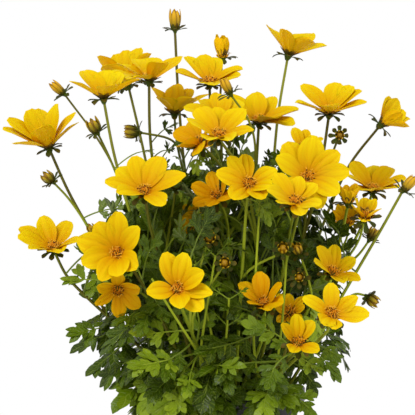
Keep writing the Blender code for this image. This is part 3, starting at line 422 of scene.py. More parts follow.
def budMaterial():
    # petals still furled: deeper and greener than open ones, with brown lines where they overlap
    material, tree, along, across, tint, _, place = startMaterial("furledPetal")
    colour = addNode(tree, "ValToRGB", (along,),
                     stops=((0.0, "#5C560C"), (0.35, "#B4920A"), (0.7, "#DCA80A"), (1.0, "#EAB410")))
    green = addNode(tree, "ValToRGB", (along,),
                    stops=((0.0, "#40460C"), (0.5, "#86840E"), (0.8, "#D8B414"), (1.0, "#3C2206")))
    colour = addNode(tree, "Mix", {0: tint, 6: colour, 7: green}, 2, data_type="RGBA")
    line = addNode(tree, "Math", (across,), operation="ABSOLUTE")
    line = addNode(tree, "Math", (line, 3.0), operation="POWER")
    share = addNode(tree, "Math", (line, 0.85), operation="MULTIPLY")
    colour = addNode(tree, "Mix", {0: share, 6: colour, 7: "#6A4206"}, 2, data_type="RGBA")
    grain = addNode(tree, "TexNoise", {"Vector": place, "Scale": 1 / (1.2 * mm)})
    return endMaterial(material, colour, grain, 0.1, budLook)


floretLook = {"Roughness": 0.6, "Specular IOR Level": 0.3}


def floretMaterial():
    # disc florets: orange-yellow tubes dusted with pollen, maroon anthers and pale curled styles
    material, tree, along, across, tint, _, place = startMaterial("discFloret")
    ripe = addNode(tree, "ValToRGB", (along,), stops=((0.0, "#C77E00"), (0.5, "#E89E04"), (0.56, "#4A150A"),
                                                      (0.86, "#3A0E08"), (0.92, "#F0B020")))
    closed = addNode(tree, "ValToRGB", (along,),
                     stops=((0.0, "#B98A08"), (0.7, "#E8A008"), (1.0, "#C86E06")))
    isRipe = addNode(tree, "Math", (tint, 0.5), operation="GREATER_THAN")
    colour = addNode(tree, "Mix", {0: isRipe, 6: closed, 7: ripe}, 2, data_type="RGBA")
    colour = addNode(tree, "Mix", {0: across, 6: colour, 7: "#F6C23A"}, 2, data_type="RGBA")
    pollen = addNode(tree, "TexNoise", {"Vector": place, "Scale": 1 / (0.5 * mm)})
    return endMaterial(material, colour, pollen, 0.05, floretLook)


leafLook = {"Roughness": 0.3, "Specular IOR Level": 0.2}


def leafMaterial():
    # soft herb leaf: satin above with pale sunken veins, matt and greyer beneath
    material, tree, along, across, tint, under, place = startMaterial("bidensLeaf")
    top = addNode(tree, "ValToRGB", (tint,),
                  stops=((0.0, "#223200"), (0.35, "#3E5600"), (0.7, "#607A00"), (1.0, "#98AE24")))
    blotch = addNode(tree, "TexNoise", {"Vector": place, "Scale": 1 / (9 * mm)})
    share = addNode(tree, "Math", (blotch, 0.5), operation="MULTIPLY")
    top = addNode(tree, "Mix", {0: share, 6: top, 7: "#3C5000"}, 2, data_type="RGBA")
    # the midrib, and side veins that leave it forwards, about 3 mm apart
    reach = addNode(tree, "Math", (across,), operation="ABSOLUTE")
    rib = addNode(tree, "MapRange", {0: reach, 1: 0.02, 2: 0.16, 3: 1.0, 4: 0.0},
                  interpolation_type="SMOOTHSTEP")
    side = addNode(tree, "Math", (reach, -0.22, along), operation="MULTIPLY_ADD")
    side = addNode(tree, "Math", (side, 31.0), operation="MULTIPLY")
    side = addNode(tree, "Math", (side,), operation="SINE")
    side = addNode(tree, "Math", (side, 0.25, 0.75), operation="MULTIPLY_ADD")
    side = addNode(tree, "Math", (side, 12.0), operation="POWER")
    side = addNode(tree, "Math", (side, 0.5), operation="MULTIPLY")
    vein = addNode(tree, "Math", (rib, side), operation="MAXIMUM")
    share = addNode(tree, "Math", (vein, 0.4), operation="MULTIPLY")
    top = addNode(tree, "Mix", {0: share, 6: top, 7: "#94A63A"}, 2, data_type="RGBA")
    back = addNode(tree, "Mix", {0: share, 6: "#7C8E48", 7: "#A0B070"}, 2, data_type="RGBA")
    colour = addNode(tree, "Mix", {0: under, 6: top, 7: back}, 2, data_type="RGBA")
    pucker = addNode(tree, "TexNoise", {"Vector": place, "Scale": 1 / (2 * mm)})
    sunken = addNode(tree, "Math", (vein, -1.0), operation="MULTIPLY")
    height = addNode(tree, "Math", (pucker, 0.6, sunken), operation="MULTIPLY_ADD")
    return endMaterial(material, colour, height, 0.25, leafLook)


stalkLook = {"Roughness": 0.6, "Specular IOR Level": 0.12}


def stalkMaterial():
    # green herb stalk with pale ridges, painted lighter green low down, where the leaves shade it, and
    # dull olive from 190 to 260 mm up, flushed dark brown in patches a few centimetres long
    material, tree, _, across, tint, under, place = startMaterial("bidensStalk")
    lowPaintedLightGreen = addNode(tree, "ValToRGB", (tint,),
                    stops=((0.0, "#80900A"), (0.5, "#98A814"), (1.0, "#AEBE2A")))
    highOlive = addNode(tree, "ValToRGB", (tint,),
                   stops=((0.0, "#4E4E0A"), (0.5, "#6E7010"), (1.0, "#909428")))
    # painted light: the colour runs by height from the lighter green low down, where the leaves shade the
    # stalks, to the darker olive up high
    high = addNode(tree, "SeparateXYZ", (place,), 2)
    high = addNode(tree, "MapRange", {0: high, 1: 190 * mm, 2: 260 * mm})
    green = addNode(tree, "Mix", {0: high, 6: lowPaintedLightGreen, 7: highOlive}, 2, data_type="RGBA")
    flush = addNode(tree, "TexNoise", {"Vector": place, "Scale": 1 / (45 * mm)})
    flush = addNode(tree, "Math", (under, flush))
    share = addNode(tree, "MapRange", {0: flush, 1: 0.9, 2: 1.4, 3: 0.0, 4: 0.8})
    colour = addNode(tree, "Mix", {0: share, 6: green, 7: "#4A3408"}, 2, data_type="RGBA")
    ridge = addNode(tree, "Math", (across, 0.14, 0.14), operation="MULTIPLY_ADD")
    colour = addNode(tree, "Mix", {0: ridge, 6: colour, 7: "#A0A450"}, 2, data_type="RGBA")
    grain = addNode(tree, "TexNoise", {"Vector": place, "Scale": 1 / (1.5 * mm)})
    return endMaterial(material, colour, grain, 0.1, stalkLook)


bractLook = {"Roughness": 0.55, "Specular IOR Level": 0.15}


def bractMaterial():
    # leathery bracts: green-black outside the head, maroon-brown on the scales under the petals
    material, tree, along, _, tint, _, place = startMaterial("bidensBract")
    green = addNode(tree, "ValToRGB", (along,),
                    stops=((0.0, "#46600A"), (0.5, "#34480A"), (1.0, "#2A2A08")))
    red = addNode(tree, "ValToRGB", (along,),
                  stops=((0.0, "#3E3008"), (0.5, "#5A3808"), (1.0, "#A07410")))
    colour = addNode(tree, "Mix", {0: tint, 6: green, 7: red}, 2, data_type="RGBA")
    blotch = addNode(tree, "TexNoise", {"Vector": place, "Scale": 1 / (2 * mm)})
    share = addNode(tree, "Math", (blotch, 0.35), operation="MULTIPLY")
    colour = addNode(tree, "Mix", {0: share, 6: colour, 7: "#5E6420"}, 2, data_type="RGBA")
    return endMaterial(material, colour, blotch, 0.1, bractLook)


potLook = {"Roughness": 0.3, "IOR": 1.49, "Specular IOR Level": 0.3}


def potMaterial():
    # injection-moulded black polypropylene: satin, with a faint orange peel and pale dust in streaks
    material, tree, *_, place = startMaterial("mouldedPolypropylene")
    stretched = addNode(tree, "Mapping", {0: place, 3: (1.0, 1.0, 0.12)})
    streak = addNode(tree, "TexNoise", {"Vector": stretched, "Scale": 1 / (6 * mm), "Detail": 5.0})
    share = addNode(tree, "MapRange", {0: streak, 1: 0.5, 2: 0.8, 3: 0.0, 4: 0.3})
    colour = addNode(tree, "Mix", {0: share, 6: "#0C0C0C", 7: "#2A2824"}, 2, data_type="RGBA")
    peel = addNode(tree, "TexNoise", {"Vector": place, "Scale": 1 / (1.2 * mm)})
    return endMaterial(material, colour, peel, 0.06, potLook)


soilLook = {"Roughness": 0.95, "Specular IOR Level": 0.2}


def soilMaterial():
    # moist peat: near-black brown crumbs with paler fibres, matt
    material, tree, *_, place = startMaterial("moistPeat")
    crumb = addNode(tree, "TexNoise", {"Vector": place, "Scale": 1 / (3 * mm), "Detail": 6.0})
    colour = addNode(tree, "ValToRGB", (crumb,),
                     stops=((0.35, "#1C130B"), (0.5, "#33241A"), (0.68, "#57402B")))
    grit = addNode(tree, "TexVoronoi", {"Vector": place, "Scale": 1 / (1.6 * mm)})
    return endMaterial(material, colour, grit, 0.7, soilLook)


petal, budPetal, floret = petalMaterial(), budMaterial(), floretMaterial()
leafGreen, stalkGreen, bractGreen = leafMaterial(), stalkMaterial(), bractMaterial()
potBlack, peat = potMaterial(), soilMaterial()
print("materials made")


# Flower heads

bloomSize = {"discRadius": 3.7, "gap": 0.3, "width": 16.5, "broad": 0.31, "tipBend": 10.0, "halfSink": 1.2,
             "rows": 17, "cols": 11, "thick": 0.4, "slim": (0.84, 1.12), "claw": 0.24, "blunt": (1.5, 2.3),
             "widestAt": (0.5, 0.66), "groove": 0.85, "grooveAt": 0.36, "grooveHalf": 0.15,
             "curl": (0.02, 0.28), "ripple": 0.09, "sway": 0.06, "twist": 14.0, "tipCurl": 12.0,
             "jitter": 6.0, "lap": 0.7,
             # per bloom, how far the petals turn to the deeper gold: partly the tone of older blooms, partly
             # painted shade on blooms that stand in shade
             "ageAndShadeAmber": {"bloom_09": 0.55, "bloom_13": 0.7, "bloom_24": 0.55, "bloom_25": 0.7, "bloom_29": 0.65,
                       "bloom_06": 0.2, "bloom_04": 0.15, "bloom_28": 0.15}}


def readHead(row, blooms):
    # a row by name, with its axes and petals; where the table tells none, they stand round evenly, and
    # their spread and length vary by a sine of their number
    head = dict(zip(("stem", "kind", "x", "y", "z", "turn", "rise", "spread", "count", "length"), row))
    head["seat"], head["axis"] = np.array(row[2:5], float), aim(*row[5:7])
    head["node"] = "leafy_stem_" + head["stem"]
    head["bloom"] = f"bloom_{blooms:02d}" if head["kind"] == "bloom" else None
    head["across"], head["up"] = squareTo(head["axis"])
    n = np.arange(head["count"])
    even = zip((n + 0.5) * 360 / len(n), head["spread"] + 4.0 * np.sin(2.4 * n + len(n)),
               head["length"] * (1.0 + 0.05 * np.sin(1.7 * n)))
    head["petals"] = petalRows.get(head["bloom"], list(even))
    return head


def spoke(head, angle):
    # the unit vectors that lead out from a head's axis at an angle and on round it
    outward = math.cos(angle) * head["across"] + math.sin(angle) * head["up"]
    return outward, math.cos(angle) * head["up"] - math.sin(angle) * head["across"]


def marked(center, s, t, tint):
    # the four marks of a grid: s, t, the tint and no underside
    marks = np.zeros(center.shape[:2] + (4,))
    marks[..., 0], marks[..., 1], marks[..., 2] = s, t, tint
    return marks


def petalPart(foot, outward, over, axis, size, half, inner, outer, rng, lift, ageAndShadeAmber):
    # s runs from claw to tip, t from margin to margin. The midrib turns from the inner angle off the
    # axis to the outer one. The half-width rises as a sine to its widest place and closes in a
    # superellipse to the tip, which has a short point or three blunt teeth. Two grooves run lengthwise,
    # the margins curl up as t squared and ripple, and the whole blade twists with s
    look = bloomSize
    s = np.linspace(0, 1, look["rows"])[:, None] ** 0.9
    t = np.linspace(-1, 1, look["cols"])[None, :]
    steps = np.linspace(0, 1, 60)
    bend = outer - inner + rng.uniform(0.2, 1) * look["tipCurl"] * min(1.0, inner / 50)
    angles = np.radians(inner - 5 + bend * steps**1.5)
    runs = np.concatenate([[0], np.cumsum(np.sin(angles[:-1]))]) / (len(steps) - 1) * size
    rises = np.concatenate([[0], np.cumsum(np.cos(angles[:-1]))]) / (len(steps) - 1) * size
    widest, blunt = rng.uniform(*look["widestAt"]), rng.uniform(*look["blunt"])
    swell = look["claw"] + (1 - look["claw"]) * np.sin(0.5 * np.pi * np.minimum(s / widest, 1))
    closing = np.maximum(s - widest, 0) / (1.04 - widest)
    width = half * swell * np.maximum(0.0, 1 - closing**blunt) ** 0.55
    cap = 0.10 * (1 - t**2) - 0.05
    teeth = rng.uniform(0, 0.03) * np.cos(3 * np.pi * t + rng.uniform(-0.6, 0.6)) * (1 - t**2)
    along = s + (cap + teeth) * s**5
    run, rise, angle = (np.interp(along, steps, line) for line in (runs, rises, angles))
    up = np.sin(angle)[..., None] * axis - np.cos(angle)[..., None] * outward
    twist = np.radians(rng.uniform(-1, 1) * look["twist"]) * s[..., None]
    side, up = np.cos(twist) * over + np.sin(twist) * up, np.cos(twist) * up - np.sin(twist) * over
    deep = look["groove"] * rng.uniform(0.6, 1.3)
    groove = deep * np.exp(-(((np.abs(t) - look["grooveAt"]) / look["grooveHalf"]) ** 2))
    groove = groove * np.sin(np.pi * np.minimum(s, 0.96)) ** 0.7
    curl = rng.uniform(*look["curl"]) * width * t**2
    ripple = look["ripple"] * half * np.sin(rng.uniform(5, 9) * s + rng.uniform(0, 6) + 2.0 * t)
    ripple = ripple * np.abs(t) ** 1.5 * s
    sway = rng.uniform(-look["sway"], look["sway"]) * size * s**2
    center = (foot + run[..., None] * outward + rise[..., None] * axis + (t * width)[..., None] * side
              + sway[..., None] * over + (curl - groove + ripple + lift * (1 - s))[..., None] * up)
    true = unit(np.cross(np.gradient(center, axis=0), np.gradient(center, axis=1)))
    thick = look["thick"] * np.sqrt(np.maximum(0.0, 1 - t**2)) * (1.15 - 0.5 * s)
    return blade(center, true, thick, marked(center, s, t, rng.uniform(0, 0.35) + ageAndShadeAmber))


def bloomParts(head, sink, fuller=0):
    # the frame's petals one by one, each near its turn, spread and size there; fuller adds a whorl inside
    look, parts = bloomSize, []
    rng = np.random.default_rng(seed + int(abs(head["x"]) * 7 + abs(head["y"]) * 3 + head["z"]))
    base, closing = look["gap"] - sink, 14.0 if head["spread"] < 20 else 0.0
    # the deeper gold of older and half-open blooms, and painted shade on blooms that stand in shade
    ageAndShadeAmber = look["ageAndShadeAmber"].get(head["bloom"], 0.35 * fuller)
    told = head["bloom"] in petalRows
    for whorl in range(1 + fuller):
        for i, (turn, spread, length) in enumerate(head["petals"]):
            size = length * rng.uniform(0.99, 1.04) * (1 - 0.12 * whorl)
            spread += (0.0 if told else rng.uniform(-1, 1) * look["jitter"]) - 9 * whorl
            inner, outer = spread - 3, spread + look["tipBend"] - 2 * closing
            half = min(0.5 * look["width"], look["broad"] * length) * rng.uniform(*look["slim"])
            turn += 180 / head["count"] * whorl + (0.0 if told else rng.uniform(-1, 1) * look["jitter"])
            outward, over = spoke(head, math.radians(turn))
            foot = head["seat"] + (look["discRadius"] - 1.0) * outward + (base + 0.5) * head["axis"]
            parts.append(petalPart(foot, outward, over, head["axis"], size, half, inner, outer, rng,
                                   look["lap"] * (i % 2), ageAndShadeAmber))
    return parts


# an open floret and a closed one: height, radius and shade up each
floretSize = {"count": 32, "dome": 1.7, "openFrom": 0.45, "openShare": 0.6, "styleLength": 1.1,
              "styleOut": 1.5,
              "open": ((0.0, 0.35, 0.0), (0.9, 0.5, 0.25), (1.7, 0.62, 0.5), (1.8, 0.3, 0.6),
                       (2.7, 0.32, 0.8), (3.1, 0.1, 1.0)),
              "closed": ((0.0, 0.4, 0.0), (0.7, 0.55, 0.3), (1.3, 0.62, 0.6), (1.8, 0.5, 0.8),
                         (2.1, 0.15, 1.0))}


def discParts(head, sink):
    # florets on a golden-angle spiral over a low dome: closed ones in the middle, open ones round them,
    # each a six-sided turned tube, and many of the outer ones with two curled styles
    parts, look = [], floretSize
    rng = np.random.default_rng(seed + int(head["length"] * 10 + head["z"]))
    base = bloomSize["gap"] - sink + 0.4
    count = int(look["count"] * (1.0 if head["length"] > 19 else 0.7))
    for k in range(count):
        share = math.sqrt((k + 0.5) / count)
        outward, _ = spoke(head, k * math.pi * (3 - math.sqrt(5)))
        lean = unit(head["axis"] + 0.8 * share * outward + rng.normal(0, 0.12, 3))
        foot = head["seat"] + (bloomSize["discRadius"] - 0.5) * share * outward
        foot = foot + (base + look["dome"] * (1 - share**2)) * head["axis"]
        ripe = share > look["openFrom"] and rng.uniform() < look["openShare"]
        heights, radii, shades = np.array(look["open" if ripe else "closed"]).T
        tall = (0.75 + 0.35 * share) * rng.uniform(0.85, 1.2)
        part = tube(foot + heights[:, None] * tall * lean, radii * 0.95, 6, 1.0 if ripe else 0.0)
        part[3][:, 0], part[3][:, 1] = np.repeat(shades, 6), 0
        parts.append(part)
        if share > 0.35 and rng.uniform() < 0.6:
            side = unit(np.cross(lean, rng.normal(0, 1, 3)))
            for turn in (-1, 1):
                bow = np.linspace(0, 1, 5)[:, None]
                path = (foot + lean * ((2.7 if ripe else 1.9) * tall + look["styleLength"] * bow)
                        + turn * side * (look["styleOut"] * bow**1.5))
                curl = tube(path, np.linspace(0.2, 0.13, 5), 3, 0.0)
                curl[3][:, 0], curl[3][:, 1] = 0.4, 1
                parts.append(curl)
    return parts


# bracts and scales; spoon, lance and full are the half-width along a strap, as shares of its widest
bractSize = {"outer": 8, "length": 9.0, "half": 2.0, "inner": 8, "innerLength": 6.6, "innerHalf": 2.0,
             "rows": 9, "cols": 5, "thick": 0.35, "cupSides": 12,
             "cup": ((-4.4, 1.1), (-3.6, 1.6), (-2.0, 2.4), (-0.6, 2.8), (0.2, 2.9), (0.5, 2.0)),
             "spoon": ((0, 0.6), (0.35, 0.55), (0.7, 1.0), (0.87, 0.92), (0.95, 0.65), (1, 0.2)),
             "lance": ((0, 0.8), (0.35, 1.0), (0.75, 0.6), (1, 0.08)),
             "full": ((0, 0.45), (0.3, 0.85), (0.6, 1.0), (0.85, 0.75), (1, 0.12))}


def strapPart(foot, outward, over, axis, size, half, first, last, tint, shape):
    # a narrow strap: its rib turns from the first angle off the axis to the last, its half-width
    # follows the given shape along it, and its margins curl up
    look = bractSize
    s = np.linspace(0, 1, look["rows"])[:, None]
    t = np.linspace(-1, 1, look["cols"])[None, :]
    angles = np.radians(first + (last - first) * s)
    step = size / (look["rows"] - 1)
    run = np.concatenate([[[0]], np.cumsum(np.sin(angles[:-1]), axis=0)]) * step
    rise = np.concatenate([[[0]], np.cumsum(np.cos(angles[:-1]), axis=0)]) * step
    width = half * lookUp(look[shape], s)
    normal = np.sin(angles)[..., None] * axis - np.cos(angles)[..., None] * outward
    center = foot + run[..., None] * outward + rise[..., None] * axis + (t * width)[..., None] * over
    center = center + (0.3 * width * t**2)[..., None] * normal
    true = unit(np.cross(np.gradient(center, axis=0), np.gradient(center, axis=1)))
    thick = look["thick"] * np.sqrt(np.maximum(0.0, 1 - t**2)) + 0 * s
    return blade(center, true, thick, marked(center, s, t, tint))


def whorlOf(head, count, foot, radius, make, offset=0.0):
    # straps at even turns round an axis; make gives each one's part from its foot and directions
    parts = []
    for i in range(count):
        outward, over = spoke(head, (i + offset) * 2 * math.pi / count)
        parts.append(make(foot + radius * outward, outward, over))
    return parts


def cupPart(head, profile, tint):
    # a profile of (height, radius) turned round the head's axis
    heights, radii = np.array(profile).T
    path = head["seat"] + heights[:, None] * head["axis"]
    part = tube(path, radii, bractSize["cupSides"], tint, start=head["across"])
    part[3][:, 0] = 0.2
    return part


def calyxParts(head):
    # a short cup, dark spoon-shaped bracts that spread or hang, and maroon scales pressed to the petals
    look, axis = bractSize, head["axis"]
    rng = np.random.default_rng(seed + int(abs(head["x"]) + head["z"]))
    droop = max(94.0, head["spread"] + 30.0)
    cup = cupPart(head, look["cup"], 0.15)

    def outer(foot, outward, over):
        # a bract that turns down past the petals' spread
        first, bend = rng.uniform(65, 95), rng.uniform(0, 65)
        return strapPart(foot, outward, over, axis, look["length"] * rng.uniform(0.8, 1.1), look["half"],
                         first, max(first + 5, droop - 20) + bend, rng.uniform(0, 0.35), "spoon")

    def inner(foot, outward, over):
        # a scale that leans as the petals do
        lean = max(8.0, head["spread"] - 2)
        return strapPart(foot, outward, over, axis, look["innerLength"], look["innerHalf"],
                         max(20.0, lean), lean + 6, rng.uniform(0.8, 1.0), "lance")

    low = head["seat"] - 1.4 * axis
    return ([cup] + whorlOf(head, look["outer"], low, 2.0, outer)
            + whorlOf(head, look["inner"], head["seat"] - 0.5 * axis, 2.5, inner, 0.5))


budSize = {"fat": 0.34, "petals": 7, "opening": 10.5, "scales": 8, "cover": 0.85, "coverOpening": 0.55,
           "spread": 8, "bractHalf": 1.6,
           "egg": ((0, 0.55), (0.12, 0.75), (0.5, 0.86), (0.8, 0.6), (0.93, 0.25))}


def budParts(head):
    # closed petals as straps over an egg, and the scales and bracts round its foot; a small bud is
    # nearly all scales, and its dark heart shows between the tips. Gives petal parts and bract parts
    look, axis, length = budSize, head["axis"], head["length"]
    rng = np.random.default_rng(seed + int(abs(head["y"]) + head["z"]))
    opening = length > look["opening"]
    green = 0.0 if opening else rng.uniform(0.3, 0.8)
    fat = look["fat"] * length * (0.88 if opening else 1.12)
    egg = [(-1.5, 0.9)] + [(height * length, radius * fat) for height, radius in look["egg"]]
    heart = cupPart(head, egg, green)
    heart[3][:, 0] = 0.5 if opening else 1.0

    def hugging(size, half, out, tints, shape):
        # a strap that follows the egg: it leaves outwards, runs up and leans back in
        def make(foot, outward, over):
            first, last = (24, rng.uniform(-30, -14)) if opening else (42, rng.uniform(-38, -20))
            return strapPart(foot, outward, over, axis, size * rng.uniform(0.92, 1.05), half, first + out,
                             last + out, rng.uniform(*tints), shape)
        return make

    half = (1.25 if opening else 1.0) * math.pi * fat / look["petals"]
    petals = whorlOf(head, look["petals"], head["seat"], 0.5 * fat,
                     hugging(1.1 * length, half, 0, (green, green + 0.1), "full"))
    for part in petals:
        part[3][:, 0] *= 1.0 if opening else 0.8
    petals.append(heart)
    cover = look["coverOpening"] if opening else look["cover"]
    half = 0.85 * math.pi * fat / look["scales"]
    scales = whorlOf(head, look["scales"], head["seat"] - 0.3 * axis, 0.55 * fat,
                     hugging(cover * length, half, 4, (0.3, 0.9), "lance"), 0.5)

    def spreading(foot, outward, over):
        # a bract that stands off the bud's foot
        first = rng.uniform(60, 90)
        size = (0.45 * length + 3.0) * rng.uniform(0.8, 1.15)
        return strapPart(foot, outward, over, axis, size, look["bractHalf"],
                         first, first + rng.uniform(-20, 50), rng.uniform(0, 0.3), "spoon")

    cup = cupPart(head, ((-2.6, 0.9), (-1.2, 1.4), (0.2, 0.5 * fat + 0.6), (0.8, 0.5 * fat)), 0.1)
    bracts = whorlOf(head, look["spread"], head["seat"] - 0.4 * axis, 1.2, spreading)
    return petals, [cup] + scales + bracts


# Stalks and leaves follow the frame: of the curves that may lead to a head, the one whose rings the
# frame's stem holds, and of the leaves that may hang at a place, the one whose corners it holds

stalkSize = {"main": 1.35, "branch": 1.05, "tip": 0.75, "soilTop": 81.0, "lean": 0.34, "under": 1.5,
             "leavesBy": 0.36, "arrivesBy": 0.35, "arrivesWithin": 34.0, "bows": (0.0, 0.1, 0.2, 0.3),
             "forks": (0.55, 0.4, 0.7, 0.25, 0.12, 0.1, 0.2, 0.3), "slim": 0.92, "sides": 9, "ridges": 0.07,
             "points": 48, "branchPoints": 30, "viewPoints": 120, "viewDeep": 4, "viewLow": 116}


def cornersOf(node):
    # the corners of a frame node's mesh, each once, in millimetres
    flat = np.empty(3 * len(node.data.vertices), np.float32)
    node.data.vertices.foreach_get("co", flat)
    return np.unique(np.round(flat.reshape(-1, 3) / mm, 3), axis=0)


def routes(start, leave, head, count):
    # every curve from a start to just under a head's seat: straight in, or bowed to one of eight sides
    look = stalkSize
    end = head["seat"] - look["under"] * head["axis"]
    reach = np.linalg.norm(end - start)
    first, second = squareTo(unit(end - start))
    fall = min(look["arrivesBy"] * reach, look["arrivesWithin"])
    for bow in look["bows"]:
        for turn in range(8 if bow else 1):
            angle = turn * math.pi / 4
            side = bow * reach * (math.cos(angle) * first + math.sin(angle) * second)
            early = start + look["leavesBy"] * reach * leave + side
            late = end - fall * head["axis"] + 0.6 * side
            yield evenly(bezier(start, early, late, end, 40), count)


def ringsHeld(path, radii, corners):
    # the share of the path's inner points with three of the frame's corners round them at that radius
    away = np.linalg.norm(corners[None] - path[1:-1, None], axis=2)
    return np.mean((np.abs(away - radii[1:-1, None]) < 0.03).sum(axis=1) >= 3)


def mainStalk(head, corners):
    # the stem's foot, midway between its three lowest corners, and the route from the soil to its first
    # head that the frame holds best
    look = stalkSize
    foot = corners[np.argsort(corners[:, 2])[:3]].mean(axis=0)
    crown = np.array((foot[0], foot[1], look["soilTop"] + 1.0))
    outward = head["seat"] - crown
    outward[2] = 0
    leave = unit(np.array((0, 0, 1.0)) + look["lean"] * outward / max(40.0, np.linalg.norm(outward)))
    radii = np.linspace(look["main"], look["tip"] * look["main"], 8)[1:]
    return foot, max(routes(crown, leave, head, 7), key=lambda path: ringsHeld(path, radii, corners))


def branchStalk(head, stalk, corners):
    # the share held and the route, over all forks of the main stalk, that the frame holds best
    look, best = stalkSize, (-1.0, None)
    radii = np.linspace(look["branch"], look["tip"] * look["branch"], 6)
    for share in look["forks"]:
        k = int(share * (len(stalk) - 1))
        for path in routes(stalk[k], unit(stalk[k + 1] - stalk[k]), head, 6):
            held = ringsHeld(path, radii, corners)
            if held > best[0]:
                best = (held, path)
    return best


# the frame's leaves: along the blade and half-width at each corner of the outline; half-width, half-depth,
# height, lowest share and number of leaves of each shell of the mound
leafSize = {"blade": 46.0, "knee": 0.7, "petiole": (0.75, 0.7, 0.3), "sizes": (1.0, 0.8), "thick": 0.7,
            "outline": ((0.0, 0.02), (0.2, 0.25), (0.31, 0.06), (0.52, 0.32), (0.64, 0.08), (0.84, 0.19),
                        (1.0, 0.03)),
            "center": (-10.0, 0.0, 92.0), "hangTurn": 75.0,
            "shells": ((96, 92, 94, 0.12, 56), (78, 74, 80, -0.02, 54), (56, 54, 60, -0.22, 48))}


def leafPlaces():
    # tips on a golden-angle spiral over the shells of the mound, the way each blade hangs and faces
    for row in edgeLeaves:
        yield np.array(row[:3], float), aim(*row[3:5]), aim(*row[5:])
    golden = math.pi * (3 - math.sqrt(5))
    for shell, (wide, deep, tall, low, count) in enumerate(leafSize["shells"]):
        for i in range(count):
            high = low + (0.97 - low) * (i + 0.5) / count
            flat = math.sqrt(max(0.0, 1 - high * high))
            angle = golden * i + shell
            onBall = np.array((flat * math.cos(angle), flat * math.sin(angle), high))
            size = np.array((wide, deep, tall))
            normal = unit(onBall / size)
            down = unit(np.array((0.3 * onBall[0], 0.3 * onBall[1], -1.0)))
            down = unit(down - normal * np.dot(down, normal))
            turn = math.radians(leafSize["hangTurn"]) * math.sin(2.4 * i + shell)
            lift = 0.45 + 0.45 * math.sin(1.3 * i + 2 * shell)
            hang = unit(math.cos(turn) * down + math.sin(turn) * np.cross(normal, down) + lift * normal)
            yield np.array(leafSize["center"]) + size * onBall, hang, normal


def leafRib(root, tip, hang, outward, size):
    # the quadratic curve from root to tip that arrives along the hang, with its frame at any length:
    # returns the blade's length, the whole length, and a function of lengths
    knee = tip - leafSize["knee"] * size * hang
    t = np.linspace(0, 1, 25)[:, None]
    curve = (1 - t) ** 2 * root + 2 * t * (1 - t) * knee + t**2 * tip
    lengths = lengthsAlong(curve)

    def at(wanted):
        # the point, the way along and the face's normal at each wanted length
        point = pathAt(curve, lengths, wanted)
        along = unit(pathAt(curve, lengths, wanted + 1) - pathAt(curve, lengths, wanted - 1))
        normal = unit(outward - along * (along @ outward)[..., None])
        return point, along, normal

    return min(size, 0.85 * lengths[-1]), lengths[-1], at


def leafCorners(rib):
    # the outline's corners as the frame's leaf has them
    size, whole, at = rib
    shares, halves = np.array(leafSize["outline"][1:]).T
    point, along, normal = at(whole - (1 - shares) * size)
    over = np.cross(along, normal) * np.maximum(0.8, halves * size)[:, None]
    lift = 0.5 * leafSize["thick"] * normal
    return np.concatenate([point + side * over + face * lift for side in (1, -1) for face in (1, -1)])


def frameLeaves(stalks, corners):
    # each place whose tip corners a stem of the frame holds, with the root that fits the rest of them
    found = []
    for tip, hang, normal in leafPlaces():
        outward = normal + np.array((0, 0, 0.25))
        for node, runs in stalks.items():
            near = corners[node][np.linalg.norm(corners[node] - tip, axis=1) < 45]
            if (np.linalg.norm(near - tip, axis=1) < 1.6).sum() < 4:
                continue
            roots = np.concatenate(runs)
            roots = roots[np.linalg.norm(roots - tip, axis=1) < 75]
            best = (0.5, None)
            for size in leafSize["sizes"]:
                for root in roots:
                    rib = leafRib(root, tip, hang, outward, size * leafSize["blade"])
                    gaps = np.linalg.norm(leafCorners(rib)[:, None] - near[None], axis=2).min(axis=1)
                    if np.median(gaps) < best[0]:
                        best = (np.median(gaps), (node, rib))
            if best[1]:
                found.append(best[1])
    return found


corners = {name: cornersOf(node) for name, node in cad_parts.items()}
stems, blooms = {}, 0
for row in heads:
    blooms += row[1] == "bloom"
    head = readHead(row, blooms)
    stems.setdefault(head["node"], []).append(head)

# each stem's paths as the frame has them, main stalk first, and the same as 50 even points each
stalks, feet, worst = {}, {}, 1.0
for node, own in stems.items():
    feet[node], path = mainStalk(own[0], corners[node])
    runs = [evenly(path, 50)]
    paths = [path]
    for head in own[1:]:
        held, branch = branchStalk(head, evenly(path, 60), corners[node])
        worst = min(worst, held)
        paths.append(branch)
        runs.append(evenly(branch, 50))
    stalks[node] = (paths, runs)
print("stalks follow the frame, the least sure by", round(worst, 2))
leaves = frameLeaves({node: runs for node, (paths, runs) in stalks.items()}, corners)
print(len(leaves), "leaves follow the frame")


# half-width along a finger and a web; place, turn and reach of the forks of a leaflet; place and reach
# of the pairs of leaflets, and where the end leaflet starts and how long it is; points, sides and tint of
# the petiole; then the ranges that sizes, tones, bends and turns are drawn from
lobeSize = {"thick": 0.45, "rows": 6, "finger": ((0, 0.5), (0.3, 0.85), (0.58, 1.0), (0.82, 0.68), (1, 0.1)),
            "web": ((0, 0.3), (0.35, 1.0), (0.7, 0.85), (1, 0.3)), "webReach": 0.86, "webWide": 0.2,
            "endReach": 0.5, "endWide": 0.17, "forkWide": 0.26, "forks": ((0.36, 40, 0.56), (0.1, 56, 0.42)),
            "pairs": ((0.04, 0.36), (0.34, 0.42)), "end": 0.5, "endLong": 1.02,
            "ribShort": 0.3, "ribPoints": 8, "ribSides": 5, "ribTint": 0.1,
            "swing": 9.0, "size": (0.8, 1.15), "tone": (-0.12, 0.12), "sink": (-0.05, 0.35),
            "bend": (-0.12, 0.12), "webFold": (0, 0.35), "endBend": (-0.1, 0.1), "endSink": (-0.1, 0.25),
            "endFold": (-0.1, 0.4), "forkBend": (0.0, 0.22), "forkSink": (-0.15, 0.4),
            "forkFold": (-0.1, 0.45), "shift": (0, 0.06), "turn": (40, 64), "endTurn": (-0.12, 0.12),
            "lift": (-0.25, 0.25), "face": 0.22}


